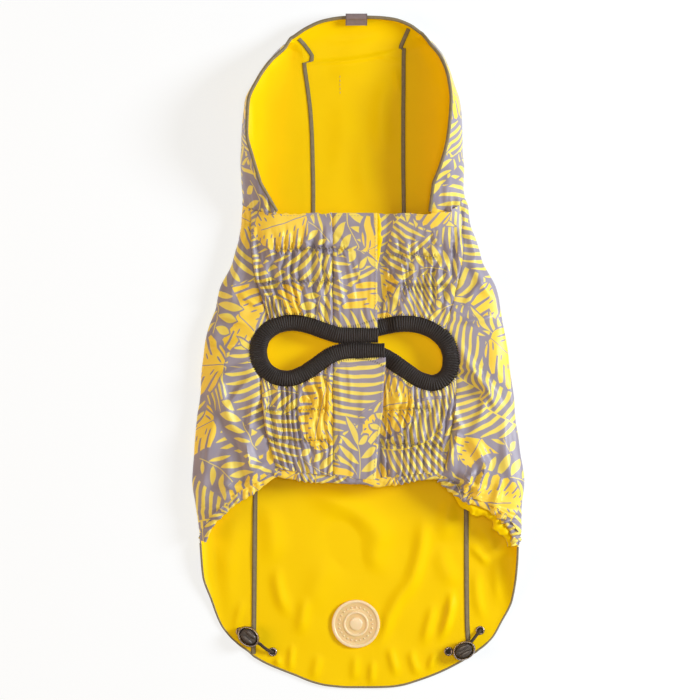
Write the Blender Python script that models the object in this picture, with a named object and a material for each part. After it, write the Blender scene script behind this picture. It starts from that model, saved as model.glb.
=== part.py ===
"""A hooded dog raincoat, laid on its back with the belly side up.

Every cut piece is one solid. The body is a flattened tube of cloth, so one function, section(), gives
the inside face of all its pieces, and the hood is a shallow bowl whose ribs stand in HOOD_RIBS. Sizes
are in millimetres: X runs across the coat, Y from the tail up to the hood and Z up from the table.
Left and right are as seen from above.
"""

import math

import bmesh
import bpy
import numpy as np

TO_METRES = 0.001
CLOTH = 1.2  # wall of a cloth panel
SEAM_GAP = 0.3  # left between neighbouring pieces
STEP = 0.002  # step in a surface's own coordinates when its normal is worked out
LEFT, RIGHT = -1, 1

# Sections across the laid coat: how far up it is, and how far the outline reaches to each side.
OUTLINE = [  # y, left, right
    (120, 88.6, 80), (111, 88, 82.5), (93, 88.6, 85.5), (84, 90, 90), (66, 94.8, 95), (47, 105, 105),
    (29, 109, 108), (2, 116.6, 113), (-34, 120, 118), (-71, 124, 122), (-98, 125.7, 125.7),
    (-116, 123.4, 124.4), (-134, 121, 123), (-152, 119.6, 121.6), (-171, 118.2, 120.8), (-189, 112.2, 118),
    (-207, 105.2, 109), (-218, 97, 102.6), (-228, 84.6, 91.6),
]
# How the tube's section changes along the coat: crown is the rise of the top layer over the side fold,
# lift the height of that fold over the floor and turn the angle that the side has turned up by at it.
TUBE = [  # y, crown, lift, turn
    (120, 13, 5.5, 90), (104, 11, 5.2, 90), (60, 8, 4.8, 90), (0, 7.2, 4.8, 90), (-60, 7.8, 5, 90),
    (-100, 10, 5.4, 90), (-152, 11, 5.6, 90), (-180, 11, 5.4, 60), (-205, 11, 5, 22), (-228, 11, 5, 3),
]
FOLD_REACH = 12.0  # how far in from the outline the side fold starts
FLOOR_U, FOLD_U = 0.3, 0.6  # where, across a side piece, its floor ends and where its side fold is
SIDE_COLUMNS = [0, 0.15, 0.3, 0.39, 0.49, 0.6, 0.68]
CROWN_POWER = 5.0  # 2 would round the top layer off from edge to edge, 5 leaves it flat in the middle
PUFF, PUFF_AT, PUFF_SPREAD = 0.25, 0.75, 0.2  # the loose sides stand above the elasticated middle

# The long seams between back and side panels, on the floor, and the seams that join the side panels
# to the chest and belly, on top.
BACK_SEAM = [  # y, left, right
    (98, 34, 35), (70, 52, 52.5), (40, 66, 66), (10, 73.5, 72), (-40, 76, 76.5), (-103, 78, 82),
    (-202, 79, 82.8), (-230, 79.5, 84.3),
]
CHEST_SEAM = [(113, 81, 77), (90, 81, 80), (71, 79.5, 79), (54, 77, 76), (24, 67, 68.5), (14, 63, 65)]
BELLY_SEAM = [(-14, 73.2, 74.4), (-40, 72.5, 74.2), (-60, 70, 70.6), (-78, 65, 67.8), (-94, 60.5, 64)]
NECK_ON_FLOOR = 98
NECK_AT_FOLD = {LEFT: 110, RIGHT: 116}
NECK_GAP = 0.5
THROAT = {LEFT: 61, RIGHT: 55}  # where the hood's rim meets the chest
CHEST_EDGE = 104  # the chest's free upper edge

# The opening down the middle: the left half, with its placket, lies over the right half.
PLACKET_SEAM = -19
PLACKET_EDGE = [(104, 14.6), (20, 14.6), (-7, 21), (-25, 19.5), (-42, 19), (-68, 15.7), (-99, 13)]  # y, x
UNDERLAP_EDGE = -12  # how far the right half reaches beneath
UNDERLAP_DROP = 3.3
UNDERLAP_RAMP = (21, 31)  # between these the right half sinks under the left one

# Leg openings: the middle line of each elastic binding, from its upper end at the placket, round the
# leg, to its lower end. The right ones lie beneath the left ones.
LEG_LINE = {
    LEFT: [(14.4, 11.9), (0, 11.9), (-15, 12.2), (-26, 15.6), (-38, 19.8), (-51, 21.6), (-63.5, 18.4),
           (-72.5, 10.5), (-75.5, -0.5), (-72.5, -12), (-64, -19.6), (-52.5, -21.8), (-41.5, -18.2),
           (-30, -10.6), (-19.5, -3.6), (-8, -0.6), (6, -0.4), (19.3, -0.4)],
    RIGHT: [(-8, 12.6), (3, 14.2), (14, 17.2), (26, 20), (38, 20.8), (50, 18.6), (61, 12.6), (68.6, 3),
            (70.6, -8), (67.4, -19.4), (58, -25), (46.6, -22.6), (35.4, -15.4), (23.5, -7.2), (13, -2),
            (3, -0.6), (-8, -0.4)],
}
BINDING_WIDTH, BINDING_END_WIDTH = 12.6, 11.0
BINDING_TAPER = 24  # length over which the width falls towards each end
BINDING_WALL = 1.9
BINDING_GAP = 0.5  # between a binding and the cloth that it edges
RIB_PITCH, RIB_HEIGHT = 2.0, 0.7

# Gathers that the elastic thread draws up: how many, how deep, and where along the piece they start.
GATHERS = {  # folds, depth, start across the piece, end across the piece
    "chest_left": (8, 1.6, 0.0, 1.0),
    "chest_right": (7, 1.5, 0.36, 1.0),
    "belly_left": (9, 1.8, 0.0, 1.0),
    "belly_right": (9, 1.7, 0.36, 1.0),
}
COLUMNS_PER_FOLD = 3
GATHER_UNEVEN = 0.035

# Elastic hem casings: the free edge, and the waves that the elastic draws it into.
CASING = 5.5
CASING_GAP = 0.45
BELLY_HEM = [  # x, y
    (-60, -95), (-42, -97.5), (-24, -99.5), (9, -102.6), (30, -101), (45, -98.6), (61, -99),
]
SIDE_HEM = {  # x, y
    LEFT: [(-60.9, -95.4), (-75, -105), (-87, -112.5), (-99, -123), (-110, -134), (-115.6, -145)],
    RIGHT: [(63.5, -101), (72, -107), (81, -115), (91, -119), (101, -124), (109, -130.5), (114, -138),
            (116.6, -148)],
}
BELLY_WAVES, SIDE_WAVES = 34, 12
WAVE_DEPTH = 1.3

# Ribs of the hood from the neck to the peak, on each side. Each runs from the seam on the floor out
# to the fold and up to the rim.
HOOD_RIBS = {
    LEFT: [  # seam x, seam y, fold x, fold y, fold z, rim x, rim y, rim z
        (-34, 122, -88, 124, 7, -74, 126, 25), (-34.4, 143, -88.6, 145, 8.5, -79.4, 145, 31),
        (-35, 163, -88, 165, 9, -83.4, 164, 34), (-36.2, 182, -85.6, 186, 9, -82.4, 186, 33),
        (-38.4, 200, -77, 206, 8.6, -74.6, 205, 28), (-40.4, 214, -67.2, 220.4, 8, -65, 219, 22),
        (-41.6, 224, -57.6, 230, 7.5, -55.6, 228.2, 17), (-43.5, 231, -51.2, 236.8, 7.4, -49.4, 235.2, 13.5),
    ],
    RIGHT: [
        (34.6, 122, 79, 124, 7, 57.5, 126, 25), (34.4, 143, 79.4, 145, 8.5, 64, 144, 31),
        (34.4, 163, 78.6, 166, 9, 68.4, 165, 34), (34.4, 182, 77, 187, 9, 70, 188, 33),
        (34.6, 200, 71.2, 206.6, 8.6, 67.8, 205.6, 28), (34.6, 214, 65.2, 222.4, 8, 62.4, 221, 22),
        (34.8, 226, 57.6, 232.4, 7.5, 55.4, 230.6, 17), (37.4, 236, 48.4, 241, 7.4, 46.6, 239.4, 13.5),
    ],
}
RIM_TURN = 62  # degrees that a rib has turned past upright where it meets the rim
BRIM = [  # x, y of the hood's front edge
    (-51, 235.4), (-38, 244), (-26, 249), (-12, 251.4), (0, 251.9), (14, 251.6), (26, 250.4),
    (38, 246.4), (49.5, 238.4),
]
BRIM_REACH, BRIM_RISE = 26, 9.5
HOOD_SEAM_GAP = 0.7
PEAK_V = 0.975  # where, from the neck to the last rib, a hood side panel stops beside the middle one
PIPING_RADIUS = 1.3
TAIL_PIPING_RADIUS = 0.8
PIPING_GAP = 0.45  # between a piping and the turned-up cloth edge that it follows
TAIL_EDGE = [  # x, y of the back panel's hem
    (-81, -230.4), (-70, -236.8), (-47, -246.2), (-33, -251.6), (-22, -254), (-6, -255.2), (10, -255.2),
    (24, -254.8), (34, -253.4), (43, -250.8), (60, -244.6), (76, -236.8), (86, -230.8),
]
TAIL_GIRTH = 1.94  # how far round the girth the side panels reach beside the tail
TAIL_DROP = 6.2  # how much lower a side panel's tail edge is at the back seam than at the outline

TAB_WIDTH, TAB_WALL, TAB_LEG, TAB_AT = 16.3, 1.0, 5.0, -1.2
TAPE_WALL = 0.6
BACK_TAPE_WIDTH, HOOD_TAPE_WIDTH = 4.2, 3.2
BACK_TAPE_END = -229.6
HOOD_CREASE = {LEFT: 219, RIGHT: 229.4}  # y where the brim is folded in and its seam steps sideways
HOOD_TAPE_TOP = {  # y, x of the tape above the crease
    LEFT: [(219.8, -35.2), (224, -35), (228, -37.6), (232, -40.6), (235.4, -44)],
    RIGHT: [(230.2, 32.2), (237, 35.2), (243, 38)],
}

BADGE_AT, BADGE_RADIUS, BADGE_HEIGHT = (-1.6, -207.6), 18.4, 1.7
EYELETS = {"left_inner": (-64.8, -228.9), "left_outer": (-89.4, -213.6),
           "right_inner": (68.8, -228.6), "right_outer": (92.8, -212.6)}
EYELET_RADIUS, EYELET_HOLE, EYELET_HEIGHT = 3.5, 1.8, 1.1
LOCKS = {  # middle x, y, and the turn of the long axis in degrees
    "left": (-83.1, -216.9, -40), "right": (80.4, -227.5, 27),
}
LOCK_LENGTH, LOCK_WIDTH, LOCK_HEIGHT = 18.2, 14.2, 7.6
CORD_RADIUS = 1.05
CORDS = {  # x, y, z from the lock to its eyelet
    "left": [(-74.9, -222.3, 5.2), (-72.6, -224.2, 4.8), (-70.2, -226.2, 4.4), (-67.8, -227.8, 4.0),
             (-66.1, -228.6, 3.4), (-65.1, -228.9, 2.5), (-64.8, -228.9, 1.6)],
    "right": [(86.4, -220.4, 5.2), (88, -218.5, 4.9), (89.5, -216.6, 4.5), (91, -214.8, 4.0),
              (92.1, -213.4, 3.4), (92.7, -212.7, 2.5), (92.8, -212.6, 1.6)],
}

MATERIALS = {  # colour, roughness, metallic
    "printed_cloth": ((0.62, 0.53, 0.30), 0.55, 0.0),
    "yellow_cloth": ((0.95, 0.66, 0.01), 0.55, 0.0),
    "grey_tape": ((0.27, 0.24, 0.20), 0.5, 0.0),
    "black_elastic": ((0.025, 0.022, 0.022), 0.7, 0.0),
    "badge_rubber": ((0.86, 0.62, 0.30), 0.4, 0.0),
    "dark_metal": ((0.16, 0.15, 0.15), 0.3, 0.9),
    "black_plastic": ((0.02, 0.02, 0.02), 0.35, 0.0),
    "black_cord": ((0.02, 0.02, 0.02), 0.8, 0.0),
}


def smooth(table, column, key=0):
    """A function of the key column that runs smoothly through a column of the table, with no overshoot."""
    rows = sorted(table, key=lambda row: row[key])
    keys = np.array([row[key] for row in rows], float)
    values = np.array([row[column] for row in rows], float)
    slopes = np.diff(values) / np.diff(keys)
    same_way = slopes[:-1] * slopes[1:] > 0
    total = np.where(same_way, slopes[:-1] + slopes[1:], 1.0)
    inner = np.where(same_way, 2 * slopes[:-1] * slopes[1:] / total, 0.0)
    tangents = np.concatenate([slopes[:1], inner, slopes[-1:]])

    def value(at):
        if at <= keys[0]:
            return values[0] + tangents[0] * (at - keys[0])
        if at >= keys[-1]:
            return values[-1] + tangents[-1] * (at - keys[-1])
        i = int(np.searchsorted(keys, at)) - 1
        span = keys[i + 1] - keys[i]
        t = (at - keys[i]) / span
        start = (1 + 2 * t) * (1 - t) ** 2 * values[i] + t * (1 - t) ** 2 * span * tangents[i]
        end = t * t * (3 - 2 * t) * values[i + 1] + t * t * (t - 1) * span * tangents[i + 1]
        return start + end

    return value


def path_through(points, count):
    """Evenly spaced points of a smooth curve through the given ones."""
    points = np.array(points, float)
    chord = np.concatenate([[0], np.cumsum(np.linalg.norm(np.diff(points, axis=0), axis=1))])
    tangents = np.gradient(points, chord, axis=0)
    at = np.linspace(0, chord[-1], 40 * len(points))
    i = np.clip(np.searchsorted(chord, at) - 1, 0, len(points) - 2)
    span = (chord[i + 1] - chord[i])[:, None]
    t = (at - chord[i])[:, None] / span
    fine = (1 + 2 * t) * (1 - t) ** 2 * points[i] + t * (1 - t) ** 2 * span * tangents[i]
    fine += t * t * (3 - 2 * t) * points[i + 1] + t * t * (t - 1) * span * tangents[i + 1]
    along = np.concatenate([[0], np.cumsum(np.linalg.norm(np.diff(fine, axis=0), axis=1))])
    wanted = np.linspace(0, along[-1], count)
    return np.stack([np.interp(wanted, along, fine[:, axis]) for axis in range(points.shape[1])], axis=1)


def crossing(inside, start, step):
    """The first place, from start in steps, where the test holds."""
    at = start
    while not inside(at):
        at += step
    return at


def length_of(points):
    return float(np.linalg.norm(np.diff(points, axis=0), axis=1).sum())


def side_normals(points):
    """Unit normals of a flat path, to the right of the way it runs."""
    along = np.gradient(points, axis=0)
    along /= np.linalg.norm(along, axis=1)[:, None]
    return np.stack([along[:, 1], -along[:, 0]], axis=1)


def ease(low, high, at):
    """0 below low, 1 above high, and a smooth rise between."""
    t = min(max((at - low) / (high - low), 0.0), 1.0)
    return t * t * (3 - 2 * t)


outline_of = {LEFT: smooth(OUTLINE, 1), RIGHT: smooth(OUTLINE, 2)}
crown_of, lift_of, turn_of = (smooth(TUBE, column) for column in (1, 2, 3))
back_seam_of = {LEFT: smooth(BACK_SEAM, 1), RIGHT: smooth(BACK_SEAM, 2)}
chest_seam_of = {LEFT: smooth(CHEST_SEAM, 1), RIGHT: smooth(CHEST_SEAM, 2)}
belly_seam_of = {LEFT: smooth(BELLY_SEAM, 1), RIGHT: smooth(BELLY_SEAM, 2)}
placket_edge_of = smooth(PLACKET_EDGE, 1)
belly_hem_of = smooth(BELLY_HEM, 1)
brim_of = smooth(BRIM, 1)
tail_edge_of = smooth(TAIL_EDGE, 1)


# The body's tube -------------------------------------------------------------------------------------


def reach(side, y):
    """How far the inside face reaches to a side."""
    return outline_of[side](y) - CLOTH


def floor_edge(side, y):
    return reach(side, y) - FOLD_REACH * math.sin(math.radians(turn_of(y)))


def over_fold(y, rise, share):
    puff = 1 + PUFF * math.exp(-(((share - PUFF_AT) / PUFF_SPREAD) ** 2))
    return CLOTH + lift_of(y) + crown_of(y) * rise * puff


def section(side, girth, y):
    """A point of the inside face. Girth runs from 0 at the middle of the back, by 1 where the side
    leaves the floor and 2 at the side fold, to 3 at the middle of the top layer."""
    if girth <= 1:
        return np.array([side * girth * floor_edge(side, y), y, CLOTH])
    if girth <= 2:
        angle = (girth - 1) * math.radians(turn_of(y))
        out = floor_edge(side, y) + FOLD_REACH * math.sin(angle)
        return np.array([side * out, y, CLOTH + lift_of(y) * (1 - math.cos(angle))])
    angle = (girth - 2) * math.pi / 2
    share = max(math.cos(angle), 1e-6) ** (2 / CROWN_POWER)
    return np.array([side * share * reach(side, y), y, over_fold(y, math.sin(angle), share)])


def girth_on_top(side, across, y):
    """The girth of a point of the top layer, from its distance across."""
    share = min(abs(across) / reach(side, y), 0.9999)
    return 2 + math.acos(share ** (CROWN_POWER / 2)) / (math.pi / 2)


def neck_line(side, girth):
    """How far up the seam between body and hood lies, round the girth."""
    throat = girth_on_top(side, THROAT[side], CHEST_EDGE)
    if girth <= 2:
        return NECK_ON_FLOOR + (NECK_AT_FOLD[side] - NECK_ON_FLOOR) * ease(0.5, 2, girth)
    return NECK_AT_FOLD[side] + (CHEST_EDGE - NECK_AT_FOLD[side]) * ease(2, throat, girth)


def top_layer(x, y, drop=0.0):
    side = LEFT if x < 0 else RIGHT
    share = min(abs(x) / reach(side, y), 0.9999)
    return np.array([x, y, over_fold(y, math.sqrt(1 - share**CROWN_POWER), share) - drop])


# Making solids ---------------------------------------------------------------------------------------


def material(name):
    found = bpy.data.materials.get(name)
    if found:
        return found
    colour, roughness, metallic = MATERIALS[name]
    made = bpy.data.materials.new(name)
    made.use_nodes = True
    shader = made.node_tree.nodes["Principled BSDF"]
    shader.inputs["Base Color"].default_value = (*colour, 1)
    shader.inputs["Roughness"].default_value = roughness
    shader.inputs["Metallic"].default_value = metallic
    made.diffuse_color = (*colour, 1)
    return made


def solid(name, points, faces, finish):
    """One named object from points in millimetres."""
    mesh = bpy.data.meshes.new(name)
    mesh.from_pydata((np.array(points) * TO_METRES).tolist(), [], faces)
    work = bmesh.new()
    work.from_mesh(mesh)
    bmesh.ops.recalc_face_normals(work, faces=work.faces)
    work.to_mesh(mesh)
    work.free()
    mesh.shade_smooth()
    mesh.set_sharp_from_angle(angle=math.radians(50))
    mesh.materials.append(material(finish))
    made = bpy.data.objects.new(name, mesh)
    bpy.context.scene.collection.objects.link(made)
    return made


def wall_faces(across, along):
    """Faces of a closed wall whose two skins are grids of across by along points, one after the other."""
    skin = across * along
    faces = []
    for row in range(along - 1):
        for column in range(across - 1):
            a = row * across + column
            quad = (a, a + 1, a + across + 1, a + across)
            faces.append(quad)
            faces.append(tuple(i + skin for i in reversed(quad)))
    border = [*range(across)]
    border += [row * across + across - 1 for row in range(1, along)]
    border += [(along - 1) * across + column for column in range(across - 2, -1, -1)]
    border += [row * across for row in range(along - 2, 0, -1)]
    for a, b in zip(border, border[1:] + border[:1]):
        faces.append((b, a, a + skin, b + skin))
    return faces


def cloth(name, surface, columns, rows, finish, wall=CLOTH, relief=None, outward=1, lift=0.0):
    """One cut piece. surface(u, v) is its plain inside face, and the outer face stands off it by the
    wall and by the relief there. A lift moves the whole piece outwards first."""
    inner, outer = [], []
    for v in rows:
        for u in columns:
            across = surface(u + STEP, v) - surface(u - STEP, v)
            along = surface(u, v + STEP) - surface(u, v - STEP)
            normal = np.cross(across, along) * outward
            normal /= np.linalg.norm(normal)
            here = surface(u, v) + normal * lift
            inner.append(here)
            outer.append(here + normal * (wall + (relief(u, v) if relief else 0.0)))
    return solid(name, inner + outer, wall_faces(len(columns), len(rows)), finish)


def tube(name, path, radius, sides, finish):
    """A round tube along points of a path, with flat ends."""
    path = np.array(path)
    along = np.gradient(path, axis=0)
    points, faces = [], []
    for here, way in zip(path, along):
        way = way / np.linalg.norm(way)
        flat = np.cross(way, (0, 0, 1.0))
        flat /= np.linalg.norm(flat)
        up = np.cross(flat, way)
        for k in range(sides):
            angle = math.tau * (k + 0.5) / sides
            points.append(here + radius * (math.cos(angle) * flat + math.sin(angle) * up))
    for ring in range(len(path) - 1):
        for k in range(sides):
            a, b = ring * sides + k, ring * sides + (k + 1) % sides
            faces.append((a, b, b + sides, a + sides))
    last = (len(path) - 1) * sides
    faces.append(tuple(range(sides)))
    faces.append(tuple(range(last + sides - 1, last - 1, -1)))
    return solid(name, points, faces, finish)


def turned(name, profile, segments, finish, at, stretch=(1, 1), turn=0.0):
    """A ring or disc from a closed profile of (radius, height) points, turned about Z. A point at
    radius 0 is a pole. stretch makes it oval, and turn swings it round, in degrees."""
    swing = math.radians(turn)
    points, faces, rings = [], [], []
    for radius, height in profile:
        if radius == 0:
            rings.append([len(points)] * segments)
            points.append((at[0], at[1], at[2] + height))
            continue
        rings.append(list(range(len(points), len(points) + segments)))
        for k in range(segments):
            angle = math.tau * k / segments
            x, y = radius * math.cos(angle) * stretch[0], radius * math.sin(angle) * stretch[1]
            points.append((
                at[0] + x * math.cos(swing) - y * math.sin(swing),
                at[1] + x * math.sin(swing) + y * math.cos(swing),
                at[2] + height,
            ))
    ring_pairs = list(zip(rings, rings[1:]))
    if profile[0][0] > 0:
        ring_pairs.append((rings[-1], rings[0]))
    for lower, upper in ring_pairs:
        for k in range(segments):
            corners = (lower[k], lower[(k + 1) % segments], upper[(k + 1) % segments], upper[k])
            faces.append(tuple(dict.fromkeys(corners)))
    return solid(name, points, faces, finish)


def patch(left_x, right_x, low_y, high_y):
    """A four-sided piece seen from above, as a map from (u, v) to (x, y). Its sides are x as functions
    of y, and its ends y as functions of x."""

    def place(u, v):
        x = (left_x(0) + right_x(0)) / 2
        y = 0.0
        for _ in range(24):
            y = low_y(x) + (high_y(x) - low_y(x)) * v
            x += (left_x(y) + (right_x(y) - left_x(y)) * u - x) / 2
        return x, low_y(x) + (high_y(x) - low_y(x)) * v

    return place


# The pieces ------------------------------------------------------------------------------------------


def leg_binding(side):
    """The middle line, side normals and half widths of one elastic leg binding."""
    count = 2 * round(length_of(path_through(LEG_LINE[side], 200)) / RIB_PITCH) + 1
    line = path_through(LEG_LINE[side], count)
    along = np.linspace(0, length_of(line), count)
    from_end = np.minimum(along, along[-1] - along)
    taper = np.array([ease(0, BINDING_TAPER, at) for at in from_end])
    half = (BINDING_END_WIDTH + (BINDING_WIDTH - BINDING_END_WIDTH) * taper) / 2
    return line, side_normals(line), half


def leg_edges(side):
    """The cloth's edge round a leg opening, as y over x above it and below it, and x over y at its
    far side."""
    line, normals, half = leg_binding(side)
    outer = line + normals * (half + BINDING_GAP)[:, None] * -side
    far = int(np.argmax(outer[:, 0] * side))
    top = int(np.argmax(outer[:, 1]))
    bottom = int(np.argmin(outer[:, 1]))
    above = outer[: far + 1][np.argsort(outer[: far + 1, 0])]
    below = outer[far:][np.argsort(outer[far:, 0])]
    beside = outer[top : bottom + 1][::-1]
    return (
        lambda x: float(np.interp(x, above[:, 0], above[:, 1])),
        lambda x: float(np.interp(x, below[:, 0], below[:, 1])),
        lambda y: float(np.interp(y, beside[:, 1], beside[:, 0])),
    )


def casing_seam(side):
    """Where a side panel's cloth ends at its gathered hem, as x over y, and the y where this starts."""
    line = path_through(SIDE_HEM[side], 60)
    seam = line + side_normals(line) * (CASING + CASING_GAP) * -side
    order = np.argsort(seam[:, 1])

    def across(y):
        return float(np.interp(y, seam[order, 1], seam[order, 0]))

    return across, float(seam[0, 1])


def underlap(x):
    return UNDERLAP_DROP * (1 - ease(*UNDERLAP_RAMP, x))


def gathers(name, fade):
    """The columns and the relief of a gathered piece. Folds are uneven in width and in depth."""
    folds, depth, start, end = GATHERS[name]
    phases = np.arange(folds * COLUMNS_PER_FOLD + 1) / COLUMNS_PER_FOLD
    share = phases / folds
    share = share + GATHER_UNEVEN * np.sin(math.pi * share) * np.sin(9.2 * share + folds)
    gathered = start + (end - start) * share
    plain = np.linspace(0, start, 5)[:-1] if start > 0 else []
    columns = [*plain, *gathered]

    def relief(u, v):
        if u <= start:
            return 0.0
        phase = float(np.interp(u, gathered, phases))
        deep = 0.72 + 0.28 * math.sin(2.3 * math.floor(phase) + folds)
        return depth * deep * fade(v) * (0.5 - 0.5 * math.cos(math.tau * phase))

    return columns, relief


def back_panel():
    """The flat panel that the coat rests on."""
    place = patch(
        lambda y: -back_seam_of[LEFT](y) + SEAM_GAP / 2,
        lambda y: back_seam_of[RIGHT](y) - SEAM_GAP / 2,
        tail_edge_of,
        lambda x: NECK_ON_FLOOR,
    )
    cloth("back_panel", lambda u, v: np.array([*place(u, v), CLOTH]), np.linspace(0, 1, 10),
          np.linspace(0, 1, 18), "yellow_cloth", outward=-1)


def side_panel(side, name):
    """From the back seam on the floor, round the side fold, to the chest, leg opening, belly and hem."""
    beside_leg = leg_edges(side)[2]
    hem_seam, hem_top = casing_seam(side)
    chest_corner = crossing(lambda y: side * beside_leg(y) >= chest_seam_of[side](y), 60, -0.05)
    belly_corner = crossing(lambda y: side * beside_leg(y) >= belly_seam_of[side](y), -50, 0.05)
    hem_end = SIDE_HEM[side][-1][1] + CASING
    tail_end = OUTLINE[-1][0] + 3
    levels = [CHEST_EDGE, chest_corner, belly_corner, hem_top, hem_end, tail_end]

    def edge(y):
        if y >= chest_corner:
            return girth_on_top(side, chest_seam_of[side](y) + SEAM_GAP, y)
        if y >= belly_corner:
            return girth_on_top(side, beside_leg(y), y)
        if y > hem_top:
            return girth_on_top(side, belly_seam_of[side](y) + SEAM_GAP, y)
        if y >= hem_end:
            return girth_on_top(side, hem_seam(y), y)
        return TAIL_GIRTH

    def towards_neck(girth, level):
        if level <= chest_corner:
            return level
        share = (level - chest_corner) / (CHEST_EDGE - chest_corner)
        return chest_corner + (neck_line(side, girth) - chest_corner) * share

    def surface(u, v):
        part = min(max(v, 0), 1) * (len(levels) - 1)
        level = float(np.interp(part, range(len(levels)), levels))
        drop = TAIL_DROP * ease(-205, tail_end, level)
        floor_y = towards_neck(0.45, level) - drop
        top_y = towards_neck(edge(level), level)
        start = (back_seam_of[side](floor_y) + SEAM_GAP / 2) / floor_edge(side, floor_y)
        last = edge(top_y)
        halfway = 2.0 if last > 2 else 1 + 0.6 * (last - 1)
        girth = float(np.interp(u, [0, FLOOR_U, FOLD_U, 1], [start, 1.0, halfway, last]))
        return section(side, girth, towards_neck(girth, level) - drop * max(1 - u, 0) ** 1.6)

    def folds(u, v):
        """Soft folds that run out from the leg opening and down the side."""
        line = 0.5 + 0.5 * math.sin(math.tau * (3.2 * v + 0.8 * u))
        return 0.9 * line**2 * ease(0.5, 0.7, u) * (1 - ease(0.9, 1.0, u)) * (1 - ease(0.7, 0.8, v))

    columns = [*SIDE_COLUMNS, 0.76, 0.85, 0.93, 1]
    counts = [7, 7, 6, 8, 5]
    rows = [0.0]
    for index, count in enumerate(counts):
        rows += [(index + (k + 1) / count) / len(counts) for k in range(count)]
    cloth(name, surface, columns, rows, "printed_cloth", relief=folds, outward=side)


def chest_and_belly():
    """The gathered top pieces, and the plain plackets that close them down the middle."""
    left_above, left_below, _ = leg_edges(LEFT)
    right_above, right_below, _ = leg_edges(RIGHT)
    gap = SEAM_GAP / 2

    def neck_over(side):
        def at(x):
            if side * x < THROAT[side]:
                return CHEST_EDGE
            return neck_line(side, girth_on_top(side, x, CHEST_EDGE))
        return at

    def hem_line(x):
        return belly_hem_of(x) + CASING + SEAM_GAP

    def lay(name, place, drop, fade, rows=8):
        columns, relief = gathers(name, fade)
        cloth(name, lambda u, v: top_layer(*place(u, v), drop(place(u, v)[0])), columns,
              np.linspace(0, 1, rows), "printed_cloth", relief=relief)

    def flat(x):
        return 0.0

    def chest_fade(v):
        return 1 - ease(0.62, 0.92, v)

    def belly_fade(v):
        return 0.7 + 0.3 * math.sin(math.pi * min(max(v, 0), 1))

    lay("chest_left", patch(lambda y: -chest_seam_of[LEFT](y) + gap, lambda y: PLACKET_SEAM - gap,
                            left_above, neck_over(LEFT)), flat, chest_fade)
    lay("chest_right", patch(lambda y: UNDERLAP_EDGE, lambda y: chest_seam_of[RIGHT](y) - gap,
                             right_above, neck_over(RIGHT)), underlap, chest_fade)
    lay("belly_left", patch(lambda y: -belly_seam_of[LEFT](y) + gap, lambda y: PLACKET_SEAM - gap,
                            hem_line, left_below), flat, belly_fade)
    lay("belly_right", patch(lambda y: UNDERLAP_EDGE, lambda y: belly_seam_of[RIGHT](y) - gap,
                             hem_line, right_below), underlap, belly_fade)

    plackets = {
        "placket_chest": patch(lambda y: PLACKET_SEAM + gap, placket_edge_of, left_above,
                               lambda x: CHEST_EDGE),
        "placket_belly": patch(lambda y: PLACKET_SEAM + gap, placket_edge_of, hem_line, left_below),
    }
    for name, place in plackets.items():
        cloth(name, lambda u, v, place=place: top_layer(*place(u, v)), np.linspace(0, 1, 6),
              np.linspace(0, 1, 8), "printed_cloth", wall=1.5)


def leg_bindings():
    """Ribbed elastic bands round the leg openings."""
    for side, name in ((LEFT, "leg_binding_left"), (RIGHT, "leg_binding_right")):
        line, normals, half = leg_binding(side)
        count = len(line)

        def surface(u, v, side=side, line=line, normals=normals, half=half, count=count):
            at = min(max(v, 0), 1) * (count - 1)
            here = [np.interp(at, range(count), line[:, axis]) for axis in (0, 1)]
            across = [np.interp(at, range(count), normals[:, axis]) for axis in (0, 1)]
            away = (2 * u - 1) * np.interp(at, range(count), half)
            x, y = here[0] + across[0] * away, here[1] + across[1] * away
            return top_layer(x, y, underlap(x) if side == RIGHT else 0.0)

        def ribs(u, v, count=count):
            return RIB_HEIGHT * (round(v * (count - 1)) % 2)

        cloth(name, surface, [0, 1], np.linspace(0, 1, count), "black_elastic", wall=BINDING_WALL,
              relief=ribs)


def hems():
    """Gathered casings with elastic in them, along the belly and up the sides."""

    def waves(count):
        def relief(u, v):
            uneven = 0.8 + 0.2 * math.sin(17 * v)
            return WAVE_DEPTH * uneven * (0.5 - 0.5 * math.cos(math.tau * count * v))
        return relief

    def casing(name, path_points, away, count):
        rows = 3 * count + 1
        line = path_through(path_points, rows)
        normals = side_normals(line) * away

        def surface(u, v):
            at = min(max(v, 0), 1) * (rows - 1)
            off = line + u * CASING * normals
            x, y = (np.interp(at, range(rows), off[:, axis]) for axis in (0, 1))
            return top_layer(x, y)

        cloth(name, surface, [0, 1], np.linspace(0, 1, rows), "printed_cloth", relief=waves(count),
              outward=away)

    casing("belly_hem", BELLY_HEM, -1, BELLY_WAVES)
    casing("side_hem_left", SIDE_HEM[LEFT], 1, SIDE_WAVES)
    casing("side_hem_right", SIDE_HEM[RIGHT], -1, SIDE_WAVES)


def brim_height(x, y):
    """How high the hood's floor stands: flat up to near the brim, then turning up."""
    share = (y - brim_of(x) + BRIM_REACH) / BRIM_REACH
    share = min(max(share, 0.0), 0.999)
    return CLOTH + BRIM_RISE * (1 - math.sqrt(1 - share * share))


def hood_seam(side):
    """x over y of the seam between the hood's middle and side panels."""
    rows = [(NECK_ON_FLOOR, side * back_seam_of[side](NECK_ON_FLOOR))]
    rows += [(rib[1], rib[0]) for rib in HOOD_RIBS[side]]
    rows.append((HOOD_RIBS[side][-1][6], HOOD_RIBS[side][-1][5]))
    return smooth(rows, 1)


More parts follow.
